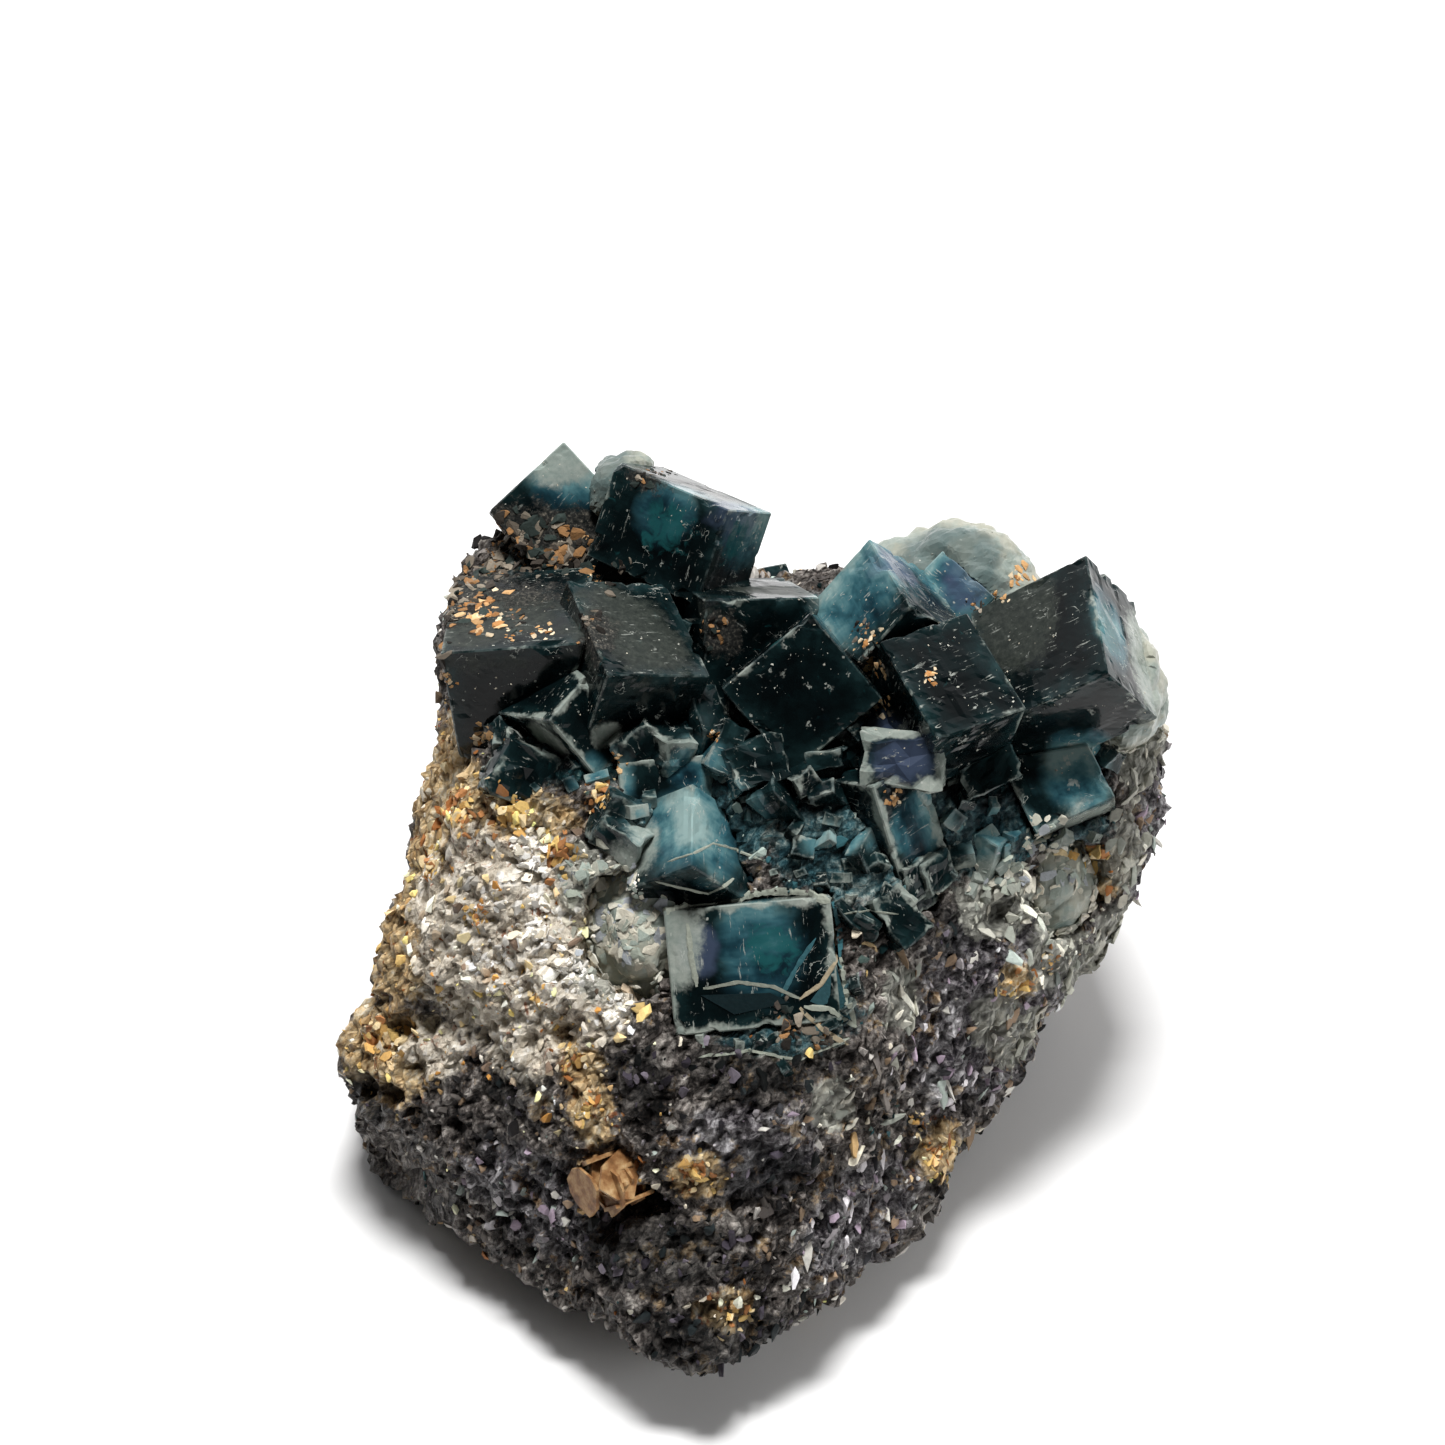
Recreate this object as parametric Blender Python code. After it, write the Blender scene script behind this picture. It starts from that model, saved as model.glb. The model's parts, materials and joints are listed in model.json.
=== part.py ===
# A fluorite specimen: a druse of dark teal cubes on a lump of granular host rock.
# Metres, +Z up. The lump rests on a flat facet at z = 0 and the origin lies in that facet,
# near its middle. +X is the right of the display side and -Y faces the viewer.
from math import radians

import bmesh
import bpy
from mathutils import Euler, Vector, noise

for old in list(bpy.data.objects):
    bpy.data.objects.remove(old, do_unlink=True)

MM = 0.001
GAP = 0.3                        # clearance between neighbouring solids
SOCKET_GROW = 2 * GAP + 0.04     # a socket is this much longer and wider than its crystal
CORE = Vector((0.0, 0.0, 22.0))  # the middle of the lump, seen from which its skin is single
SKIN_CUTS = 2                    # times each edge of the rough lump is halved
COARSE = (1.5, 0.11)             # broken relief: height in mm, waves per mm
FINE = (0.7, 0.38)
BASE_LEVEL = 0.0                 # height of the resting facet

# Crystals, most complete first: each one is cut back by those above it in the list.
# name: (topmost corner, turn about X, Y and Z in degrees, edge lengths)
# The edges run from the corner into the lump.
CRYSTALS = {
    "centre_front_cube": ((4.5, 11.5, 52.0), (-143, 34, -39), (9.5, 10.0, 11.0)),
    "centre_left_cube": ((-12.5, 5.5, 51.0), (-160, 4, 109), (12.5, 9.5, 12.0)),
    "right_dark_cube": ((28.5, 18.5, 52.0), (-141, 4, -88), (13.0, 12.0, 8.5)),
    "upper_back_cube": ((-2.5, 22.0, 54.0), (-141, 5, 144), (12.5, 8.0, 9.0)),
    "left_peak_cube": ((-17.5, 33.0, 52.0), (-149, 33, -36), (13.0, 9.5, 10.0)),
    "blue_peak_cube": ((10.0, 22.5, 50.0), (-133, -7, -72), (10.0, 9.5, 8.0)),
    "top_centre_cube": ((-4.5, 14.5, 50.5), (-166, 33, 111), (9.5, 10.5, 10.0)),
    "lower_left_blade": ((-17.5, 3.5, 47.5), (169, 32, 139), (11.5, 6.0, 7.5)),
    "left_dark_cube": ((-14.5, 10.0, 50.0), (-163, 4, -178), (12.5, 13.5, 11.0)),
    "ridge_dark_cube": ((18.0, 13.5, 50.0), (178, 9, -65), (10.5, 8.5, 8.0)),
    "small_blue_cube": ((17.0, 24.5, 46.5), (-156, 15, -43), (6.5, 6.5, 6.5)),
    "pale_window_cube": ((16.0, 6.0, 43.5), (-176, 37, -88), (5.0, 7.5, 6.0)),
    "front_window_crystal": ((6.0, -8.0, 38.5), (-175, 40, -83), (10.5, 14.0, 8.0)),
    "blue_cleavage_wedge": ((-5.5, 0.0, 43.5), (-98, 37, 175), (7.0, 8.5, 8.0)),
    "teal_cleavage_step": ((-4.0, 3.5, 43.0), (-179, 36, -84), (6.0, 8.0, 7.0)),
    "slanted_cleavage_slab": ((9.5, -0.8, 44.0), (-123, 7, 43), (6.0, 13.0, 6.5)),
    "right_step_cube": ((28.0, 7.5, 42.0), (-158, 20, -65), (7.0, 7.5, 8.0)),
    "back_left_cube": ((-26.0, 31.5, 40.0), (-160, 25, 60), (8.0, 9.0, 9.0)),
    "back_middle_cube": ((-3.0, 35.0, 32.5), (-150, 20, 35), (8.5, 8.0, 10.0)),
    "back_right_cube": ((22.5, 27.5, 31.0), (-155, -20, 20), (9.0, 8.0, 9.0)),
    "back_low_cube": ((10.0, 36.0, 30.5), (-140, 25, 50), (7.0, 7.5, 8.0)),
}

# Rounded pale masses of the same mineral: (middle, radii, noise seed)
MASSES = {
    "pale_back_mass": ((18.5, 26.5, 38.7), (8.5, 6.5, 6.0), 3),
    "pale_rear_knob": ((-12.0, 31.0, 46.5), (4.5, 4.0, 4.5), 11),
    "pale_right_rim": ((32.0, 13.5, 40.5), (4.2, 6.0, 5.5), 7),
    "pale_front_rim": ((-10.5, -8.0, 33.5), (4.5, 6.0, 6.0), 17),
    "pale_right_patch": ((27.5, -0.5, 29.0), (3.5, 4.0, 4.5), 23),
}

TAN_CLUSTER = ((-12.5, -24.5, 22.0), (-150, 20, 35), (5.5, 5.0, 5.0))

# Points on the skin of the lump, ring by ring from the rim of the plateau down to the base.
SKIN = [
    # plateau, under the crystals
    (-20, 22, 44), (-10, 26, 44), (-2, 24, 42), (8, 24, 40), (18, 20, 41), (28, 14, 43),
    (-22, 12, 44), (-12, 14, 45), (0, 16, 44), (10, 14, 42), (20, 8, 42), (30, 6, 38),
    (-24, 6, 41), (-14, 0, 42), (-5, 2, 42), (6, 4, 42), (14, 2, 39), (23, 2, 37),
    # rim of the plateau, clockwise from the left rear
    (-27, 24, 42), (-25, 31, 42), (-17, 37, 42), (-8, 35, 42), (0, 30, 37), (8, 31, 37),
    (18, 32, 37), (27, 28, 38), (33, 21, 39), (36, 14, 39), (35.5, 9, 34),
    (31, 0, 31), (24, -4, 31), (17, -6, 31), (13, -11, 29), (9, -11, 33.5), (-3, -12, 33),
    (-11, -8, 39), (-18, -3, 39), (-24, 1, 38.5), (-26.5, 9, 38), (-27.5, 17, 39),
    # upper flank
    (-29.5, 2, 32), (-33, -4, 25), (-28, -9, 28), (-22, -14, 25), (-15, -14, 32), (-9, -18.5, 29.5),
    (0, -20, 29), (8, -18, 28), (13, -15, 23), (20, -10, 24), (27, -5, 24), (34, 2, 22),
    (37.5, 9, 26), (37, 16, 28), (34, 24, 26), (26, 32, 25), (14, 35, 26), (2, 35, 25),
    (-10, 38, 28), (-21, 36, 30), (-29, 26, 28), (-30, 14, 27), (-31, 6, 24),
    # knob at the left front
    (-34.5, -6, 20), (-38, -10, 15), (-36.5, -15, 13), (-33, -18, 11), (-33.5, -14, 18),
    (-36, -5, 12), (-33, -9, 22),
    # ridge across the lower front and its undercut
    (-26, -16, 20), (-20, -20, 20), (-15, -24, 19), (-13, -28, 16), (-6, -28, 17), (1, -28, 16),
    (8, -24, 15), (14, -19, 14), (19, -13, 14), (25, -7, 14), (30, 0, 15), (33.5, 6, 17),
    (-34, -19, 8), (-28, -21, 6), (-21, -26, 6), (-14, -31, 7), (-9, -35, 7), (-4, -36, 8),
    (1, -33, 8), (7, -27, 6), (16, -20, 5), (20, -13, 5), (25, -6, 7), (28, 1, 8),
    (32, 12, 12), (31, 22, 12), (24, 29, 10), (10, 33, 9), (-6, 34, 10), (-19, 31, 10),
    (-28, 22, 12), (-32, 10, 12), (-34, -2, 10),
    # around and below the resting facet
    (-28, -14, -1), (-20, -20, -1), (-11, -26, -1), (-2, -26, -1), (7, -20, -1), (16, -12, -1),
    (23, -3, -1), (27, 8, -1), (24, 20, -1), (12, 26, -1), (-4, 28, -1), (-17, 25, -1),
    (-25, 16, -1), (-29, 4, -1), (-30, -6, -1), (-12, -10, -2), (8, -6, -2), (12, 12, -2),
    (-10, 12, -2), (-18, 2, -2), (0, 2, -2), (20, 8, -2), (0, 20, -2),
]

FINISHES = {
    "druse": ((0.010, 0.030, 0.034), 0.16),
    "blue": ((0.030, 0.110, 0.160), 0.14),
    "pale": ((0.300, 0.380, 0.340), 0.35),
    "tan": ((0.420, 0.250, 0.110), 0.60),
    "rock": ((0.130, 0.110, 0.100), 0.75),
}

FINISH_OF = {
    "blue_peak_cube": "blue",
    "small_blue_cube": "blue",
    "pale_window_cube": "blue",
    "front_window_crystal": "blue",
    "blue_cleavage_wedge": "blue",
    "teal_cleavage_step": "pale",
    "matrix": "rock",
    "tan_shell_cluster": "tan",
}


def finish(name):
    colour, roughness = FINISHES[name]
    material = bpy.data.materials.new(name)
    material.use_nodes = True
    shader = material.node_tree.nodes["Principled BSDF"]
    shader.inputs["Base Color"].default_value = (*colour, 1.0)
    shader.inputs["Roughness"].default_value = roughness
    shader.inputs["Metallic"].default_value = 0.0
    return material


def new_object(name, shape):
    """An object from a bmesh held in millimetres."""
    shape.normal_update()
    bmesh.ops.recalc_face_normals(shape, faces=shape.faces)
    bmesh.ops.scale(shape, vec=(MM, MM, MM), verts=shape.verts)
    mesh = bpy.data.meshes.new(name)
    shape.to_mesh(mesh)
    shape.free()
    obj = bpy.data.objects.new(name, mesh)
    bpy.context.scene.collection.objects.link(obj)
    return obj


def cuboid(name, corner, turn, edges, grow=0.0):
    """A cuboid whose edges leave one corner, optionally grown about its middle."""
    basis = Euler([radians(angle) for angle in turn], "XYZ").to_matrix()
    middle = Vector(corner) + basis @ (Vector(edges) / 2)
    shape = bmesh.new()
    bmesh.ops.create_cube(shape, size=1.0)
    for vert in shape.verts:
        local = Vector(side * (edge + grow) for side, edge in zip(vert.co, edges))
        vert.co = middle + basis @ local
    return new_object(name, shape)


def rounded_mass(name, middle, radii, seed, grow=0.0):
    """A lumpy ellipsoid, optionally grown by the same amount all round."""
    shape = bmesh.new()
    bmesh.ops.create_icosphere(shape, subdivisions=3, radius=1.0)
    for vert in shape.verts:
        way = vert.co.normalized()
        swell = 1 + 0.16 * noise.noise(way * 1.7 + Vector((seed, 0, 0)))
        swell += 0.07 * noise.noise(way * 4.1 + Vector((0, seed, 0)))
        vert.co = Vector(middle) + Vector(
            part * (radius * swell + grow / 2) for part, radius in zip(way, radii)
        )
    return new_object(name, shape)


def keep_largest(obj):
    """Drops every loose piece of the mesh but the one with the most volume."""
    shape = bmesh.new()
    shape.from_mesh(obj.data)
    unseen = set(shape.verts)
    pieces = []
    while unseen:
        start = unseen.pop()
        piece, edge_of_piece = {start}, [start]
        while edge_of_piece:
            vert = edge_of_piece.pop()
            for link in vert.link_edges:
                other = link.other_vert(vert)
                if other in unseen:
                    unseen.discard(other)
                    piece.add(other)
                    edge_of_piece.append(other)
        pieces.append(piece)

    def volume(piece):
        faces = {face for vert in piece for face in vert.link_faces}
        return abs(sum(f.calc_area() * f.normal.dot(f.calc_center_median()) for f in faces))

    pieces.sort(key=volume, reverse=True)
    spare = [vert for piece in pieces[1:] for vert in piece]
    bmesh.ops.delete(shape, geom=spare, context="VERTS")
    shape.to_mesh(obj.data)
    shape.free()


def cut(obj, cutters):
    """Subtracts the cutters and keeps the biggest piece left."""
    for cutter in cutters:
        step = obj.modifiers.new(cutter.name, "BOOLEAN")
        step.operation = "DIFFERENCE"
        step.solver = "EXACT"
        step.object = cutter
    graph = bpy.context.evaluated_depsgraph_get()
    carved = bpy.data.meshes.new_from_object(obj.evaluated_get(graph))
    obj.modifiers.clear()
    obj.data = carved
    keep_largest(obj)


def as_cutter(obj):
    obj.hide_render = True
    obj.display_type = "WIRE"
    return obj


def boxes_meet(one, other):
    """Whether the bounding boxes of two objects overlap."""
    lows, highs = [], []
    for obj in (one, other):
        points = [vert.co for vert in obj.data.vertices]
        lows.append([min(p[axis] for p in points) for axis in range(3)])
        highs.append([max(p[axis] for p in points) for axis in range(3)])
    return all(
        lows[0][axis] < highs[1][axis] and lows[1][axis] < highs[0][axis] for axis in range(3)
    )


def lump():
    """The host rock: the hull topology of the skin points, halved and roughened."""
    shape = bmesh.new()
    spots = {}
    for point in SKIN:
        way = (Vector(point) - CORE).normalized()
        spots[shape.verts.new(way)] = Vector(point)
    bmesh.ops.convex_hull(shape, input=shape.verts)
    for vert, point in spots.items():
        vert.co = point
    bmesh.ops.triangulate(shape, faces=shape.faces)
    for _ in range(SKIN_CUTS):
        bmesh.ops.subdivide_edges(
            shape, edges=shape.edges, cuts=1, use_grid_fill=True, smooth=0.35
        )
        bmesh.ops.triangulate(shape, faces=shape.faces)
    shape.normal_update()
    moves = []
    for vert in shape.verts:
        height, waves = COARSE
        rise = height * noise.noise(vert.co * waves)
        height, waves = FINE
        rise += height * noise.noise(vert.co * waves + Vector((9, 4, 2)))
        moves.append((vert, vert.normal * rise))
    for vert, move in moves:
        vert.co += move
    sliced = bmesh.ops.bisect_plane(
        shape,
        geom=shape.verts[:] + shape.edges[:] + shape.faces[:],
        plane_co=(0, 0, BASE_LEVEL),
        plane_no=(0, 0, 1),
        clear_inner=True,
    )
    rim = [part for part in sliced["geom_cut"] if isinstance(part, bmesh.types.BMEdge)]
    bmesh.ops.holes_fill(shape, edges=rim)
    return new_object("matrix", shape)


solids = []
sockets = []
for name, (corner, turn, edges) in CRYSTALS.items():
    solids.append(cuboid(name, corner, turn, edges))
    sockets.append(as_cutter(cuboid(f"socket_{name}", corner, turn, edges, SOCKET_GROW)))
solids.append(cuboid("tan_shell_cluster", *TAN_CLUSTER))
sockets.append(as_cutter(cuboid("socket_tan_shell_cluster", *TAN_CLUSTER, SOCKET_GROW)))
for name, (middle, radii, seed) in MASSES.items():
    solids.append(rounded_mass(name, middle, radii, seed))
    grown = rounded_mass(f"socket_{name}", middle, radii, seed, 2 * SOCKET_GROW)
    sockets.append(as_cutter(grown))

for index, solid in enumerate(solids):
    reach = [socket for socket in sockets[:index] if boxes_meet(solid, socket)]
    if reach:
        cut(solid, reach)

rock = lump()
cut(rock, [socket for socket in sockets if boxes_meet(rock, socket)])

materials = {name: finish(name) for name in FINISHES}
for solid in [*solids, rock]:
    fallback = "pale" if solid.name in MASSES else "druse"
    solid.data.materials.clear()
    solid.data.materials.append(materials[FINISH_OF.get(solid.name, fallback)])
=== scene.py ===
import json
from math import cos, radians, sin

import bmesh
import bpy
import numpy as np
from mathutils import Euler, Matrix, Quaternion, Vector, noise
from mathutils.bvhtree import BVHTree


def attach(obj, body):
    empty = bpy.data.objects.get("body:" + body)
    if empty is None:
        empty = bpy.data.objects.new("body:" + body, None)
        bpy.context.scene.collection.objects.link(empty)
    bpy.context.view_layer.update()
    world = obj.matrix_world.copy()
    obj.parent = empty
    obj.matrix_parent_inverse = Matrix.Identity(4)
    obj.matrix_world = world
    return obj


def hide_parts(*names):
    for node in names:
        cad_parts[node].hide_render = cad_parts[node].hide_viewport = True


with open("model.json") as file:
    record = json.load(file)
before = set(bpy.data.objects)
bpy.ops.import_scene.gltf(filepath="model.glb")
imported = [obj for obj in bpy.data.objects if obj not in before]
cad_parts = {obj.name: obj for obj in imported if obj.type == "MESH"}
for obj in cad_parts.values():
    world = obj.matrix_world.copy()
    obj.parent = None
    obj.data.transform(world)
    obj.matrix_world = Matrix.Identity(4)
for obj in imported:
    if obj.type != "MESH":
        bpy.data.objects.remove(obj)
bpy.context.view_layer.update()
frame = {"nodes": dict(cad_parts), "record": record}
nodes = frame["nodes"]
mm = 0.001
print("frame loaded,", len(nodes), "nodes")

# camera and light
view = {"target": (-3.0, 12.5, 36.5), "distance": 182.0, "elevation": 50.0, "lens": 50.0}
light = {
    "keyPlace": (-4, 156, 550), "keySize": (170, 80), "keyPower": 4.2,
    "fillPlace": (320, -130, 180), "fillSize": (240, 200), "fillPower": 0.50,
    "skyBright": 1.0, "skyDark": 0.03, "exposure": 0.0,
}
scene = bpy.context.scene
noise.seed_set(5)  # or the vector noise changes from run to run


def setCamera():
    camera = bpy.data.cameras.new("camera")
    camera.lens = view["lens"]
    camera.sensor_width = 36.0
    camera.clip_start = 0.005
    rig = bpy.data.objects.new("camera", camera)
    tilt = radians(view["elevation"])
    back = Vector((0, -cos(tilt), sin(tilt)))
    rig.location = (Vector(view["target"]) + back * view["distance"]) * mm
    rig.rotation_euler = (-back).to_track_quat("-Z", "Y").to_euler()
    scene.collection.objects.link(rig)
    scene.camera = rig


setCamera()
print("camera set")


# shader shorthand
class Wire:
    # a node output that takes part in plain sums
    def __init__(self, paint, socket):
        self.paint = paint
        self.socket = socket

    def sum(self, how, first, second=None):
        values = [first] if second is None else [first, second]
        return self.paint.add("ShaderNodeMath", {"operation": how}, values)

    def __add__(self, other):
        return self.sum("ADD", self, other)

    __radd__ = __add__

    def __sub__(self, other):
        return self.sum("SUBTRACT", self, other)

    def __rsub__(self, other):
        return self.sum("SUBTRACT", other, self)

    def __mul__(self, other):
        return self.sum("MULTIPLY", self, other)

    __rmul__ = __mul__

    def __truediv__(self, other):
        return self.sum("DIVIDE", self, other)

    def __rtruediv__(self, other):
        return self.sum("DIVIDE", other, self)

    def __pow__(self, other):
        return self.sum("POWER", self, other)

    def least(self, other):
        return self.sum("MINIMUM", self, other)

    def most(self, other):
        return self.sum("MAXIMUM", self, other)


class Paint:
    # one material and the shorthand to wire it
    def __init__(self, name):
        self.material = bpy.data.materials.new(name)
        self.material.use_nodes = True
        self.tree = self.material.node_tree
        self.shader = self.tree.nodes["Principled BSDF"]
        place = self.add("ShaderNodeTexCoord", {}, {}, "Object")
        self.spot = self.vector("SCALE", place, 1000.0)  # millimetres

    def plug(self, socket, value):
        if isinstance(value, Wire):
            self.tree.links.new(value.socket, socket)
        else:
            socket.default_value = value

    def add(self, kind, settings, values, output=0):
        node = self.tree.nodes.new(kind)
        for key, value in settings.items():
            if key == "stops":
                ramp = node.color_ramp.elements
                while len(ramp) < len(value):
                    ramp.new(0.5)
                for element, (place, colour) in zip(ramp, value):
                    element.position = place
                    element.color = colour if len(colour) == 4 else (*colour, 1.0)
            else:
                setattr(node, key, value)
        pairs = values.items() if isinstance(values, dict) else enumerate(values)
        for key, value in pairs:
            self.plug(node.inputs[key], value)
        return Wire(self, node.outputs[output])

    def vector(self, how, first, second=None):
        values = {0: first}
        if how == "SCALE":
            values["Scale"] = second
        elif second is not None:
            values[1] = second
        output = "Value" if how in ("DOT_PRODUCT", "LENGTH", "DISTANCE") else "Vector"
        return self.add("ShaderNodeVectorMath", {"operation": how}, values, output)

    def mix(self, mask, first, second, how="MIX"):
        first = (*first, 1.0) if isinstance(first, tuple) else first
        second = (*second, 1.0) if isinstance(second, tuple) else second
        settings = {"data_type": "RGBA", "blend_type": how}
        return self.add("ShaderNodeMix", settings, {0: mask, 6: first, 7: second}, 2)

    def noise(self, scale, detail=3.0, rough=0.55, where=None, output="Fac", warp=0.0):
        values = {"Vector": where or self.spot, "Scale": scale, "Detail": detail,
                  "Roughness": rough, "Distortion": warp}
        return self.add("ShaderNodeTexNoise", {}, values, output)

    def cells(self, scale, where=None, feature="F1", output="Distance", jitter=1.0):
        values = {"Vector": where or self.spot, "Scale": scale, "Randomness": jitter}
        return self.add("ShaderNodeTexVoronoi", {"feature": feature}, values, output)

    def ramp(self, value, stops):
        return self.add("ShaderNodeValToRGB", {"stops": stops}, {0: value})

    def fade(self, value, low, high):
        # 0 below low, 1 above high, soft between
        settings = {"interpolation_type": "SMOOTHSTEP", "clamp": True}
        return self.add("ShaderNodeMapRange", settings, {0: value, 1: low, 2: high, 3: 0.0, 4: 1.0})

    def kept(self, name):
        # a number stored on the mesh
        return self.add("ShaderNodeAttribute", {"attribute_name": name}, {}, "Fac")

    def keptColour(self, name):
        return self.add("ShaderNodeAttribute", {"attribute_name": name}, {}, "Color")

    def red(self, colour):
        return self.add("ShaderNodeSeparateColor", {}, {0: colour}, 0)

    def bump(self, height, strength, distance, under=None):
        values = {"Height": height, "Strength": strength, "Distance": distance * mm}
        if under is not None:
            values["Normal"] = under
        return self.add("ShaderNodeBump", {}, values)

    def finish(self, **values):
        for key, value in values.items():
            if isinstance(value, tuple) and len(value) == 3:
                value = (*value, 1.0)
            self.plug(self.shader.inputs[key.replace("_", " ")], value)
        return self.material


# mesh shorthand
def addPiece(name, mesh, material, replaced=()):
    piece = bpy.data.objects.new(name, mesh)
    scene.collection.objects.link(piece)
    mesh.materials.clear()
    mesh.materials.append(material)
    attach(piece, "root")
    if replaced:
        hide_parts(*replaced)
    return piece


def readPoints(mesh):
    points = np.empty(len(mesh.vertices) * 3, np.float32)
    mesh.vertices.foreach_get("co", points)
    return points.reshape(-1, 3).astype(float) / mm


def readNormals(mesh):
    normals = np.empty(len(mesh.vertices) * 3, np.float32)
    mesh.vertex_normals.foreach_get("vector", normals)
    return normals.reshape(-1, 3).astype(float)


def writePoints(mesh, points):
    mesh.vertices.foreach_set("co", (points * mm).astype(np.float32).ravel())
    mesh.update()


def storeNumber(mesh, name, values):
    layer = mesh.attributes.new(name, "FLOAT", "POINT")
    layer.data.foreach_set("value", np.asarray(values, np.float32))


def storeColour(mesh, name, colours):
    layer = mesh.color_attributes.new(name, "FLOAT_COLOR", "POINT")
    full = np.ones((len(colours), 4), np.float32)
    full[:, :3] = colours
    layer.data.foreach_set("color", full.ravel())


def sampleNoise(points, scale, shift=(0, 0, 0)):
    way = Vector(shift)
    return np.array([noise.noise(Vector(p) * scale + way) for p in points])


def smooth(value, low, high):
    t = np.clip((value - low) / (high - low), 0, 1)
    return t * t * (3 - 2 * t)


def blob(points, centre, radii):
    # 1 at the centre, 0 at the rim of a soft ellipsoid
    reach = np.linalg.norm((points - np.array(centre)) / np.array(radii), axis=1)
    return np.clip(1.5 - 1.5 * reach, 0, 1)


# the lump of rock
rock = {
    "voxel": 0.49, "swell": 0.30, "grainSize": 1.7, "grainHeight": 0.50,
    "lumpHeight": 0.9, "streak": (-0.30, -0.66, -0.69), "streakHeight": 0.8,
    "ragged": 0.75,
    "calm": 0.25,  # share of the relief left among the crystals
    "holes": 260,
    # low flanks let down to the floor: x where each starts and is full, height they start at
    "settled": (-27, -34), "settledHeight": 17, "settledFoot": 0.8,
}
# soft zones on the rock: name, centre, radii in mm
rockZones = {
    "druse": [((0, 20, 48), (40, 26, 12)), ((-14, 7, 45), (17, 11, 7)), ((7, 5, 44), (22, 10, 8)),
              ((24, 8, 42), (15, 14, 8)), ((-24, 12, 46), (8, 12, 7))],
    "teal": [((-4, -2, 42), (11, 6, 7)), ((9, -3, 40), (12, 8, 9)), ((20, -1, 38), (10, 7, 7)),
             ((2, -15, 32), (9, 6, 5)), ((28, 2, 37), (8, 7, 6))],
    "ochre": [((-28, 7, 34), (6, 12, 9)), ((-22, -2, 38), (7, 4, 4)), ((-26, -9, 30), (4, 7, 5)),
              ((-17, -7, 36), (3, 4, 3)), ((-19, -14, 28), (3, 6, 5)), ((-29, 1, 31), (6, 9, 9)), ((-31, -5, 27), (6, 8, 8)),
              ((-25, 2, 38), (6, 6, 5)), ((-20, -1, 40), (8, 3, 3)), ((-24, -7, 33), (5, 5, 5)),
              ((-33, -11, 19), (8, 8, 7)), ((-18, -14, 29), (3, 5, 5)), ((-15, -18, 28), (3, 4, 5)),
              ((-14, -21, 25), (3, 4, 4)), ((-5, -25, 22), (4, 3, 3)), ((23, -8, 25), (4, 3, 4)),
              ((31, 2, 29), (4, 5, 5)), ((17, -18, 13), (5, 4, 4)), ((-13, -25, 20), (5, 4, 4)),
              ((2, -17, 31), (5, 3, 3)), ((-3, -32, 12), (4, 3, 3)), ((30, 20, 24), (7, 8, 7)),
              ((-30, 26, 26), (7, 9, 8)), ((-6, 38, 22), (9, 6, 7))],
    "chalk": [((-21, -8, 32), (13, 14, 13)), ((-24, -4, 35), (6, 7, 7)), ((-24, -11, 28), (8, 7, 7)), ((-18, -10, 33), (7, 7, 6)),
              ((-20, -15, 26), (6, 5, 5)), ((-14, -14, 31), (5, 5, 5)), ((-27, -3, 30), (5, 6, 6)),
              ((-28, -12, 21), (5, 4, 4)), ((20, 36, 22), (9, 7, 8))],
    "white": [((-20, -4, 38), (5, 4, 3)), ((-18, -8, 35), (4, 4, 4)), ((-16, -12, 33), (5, 4, 4)),
              ((-12, -15, 32), (3.5, 3, 3)), ((-22, -10, 32), (4, 3.5, 4)), ((-10, -8, 39), (3, 3, 3))],
    "pale": [((24, -8, 17), (5, 6, 6)), ((32, 0, 22), (5, 6, 7)), ((27, -5, 26), (5, 6, 7)), ((21, -9, 22), (4, 5, 6)), ((33, 3, 30), (4, 5, 6)),
             ((-14, -6, 38), (5, 5, 4)), ((-12, -11, 36), (5, 6, 6)), ((-9, -9, 38), (5, 5, 4)),
             ((-13, -12, 33), (4, 4, 4)), ((21, -4, 32), (6, 5, 6)), ((30, -2, 19), (4, 6, 8)),
             ((12, -12, 29), (3, 4, 5)), ((6, -20, 25), (3, 3, 5)), ((20, 30, 34), (12, 8, 7)),
             ((34, 12, 36), (5, 9, 7)), ((-10, 34, 42), (9, 6, 7))],
    "dark": [((0, -18, 29), (9, 5, 4)), ((-21, -17, 23), (4, 4, 4)), ((-10, -19, 28), (4, 4, 4)),
             ((17, -6, 31), (4, 4, 4)), ((-9, -29, 16), (11, 6, 5)), ((-4, -33, 9), (9, 6, 6)),
             ((-35, -14, 16), (4, 4, 4)), ((0, -24, 21), (7, 3, 5)), ((12, 33, 24), (8, 8, 8))],
    "plum": [((22, -8, 22), (16, 15, 15)), ((-1, -24, 24), (10, 6, 6)), ((36, 10, 24), (8, 14, 14)),
             ((8, -24, 12), (12, 9, 9)), ((-18, -22, 14), (12, 9, 8)),
             ((-10, 36, 26), (14, 10, 12))],
}
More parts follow.
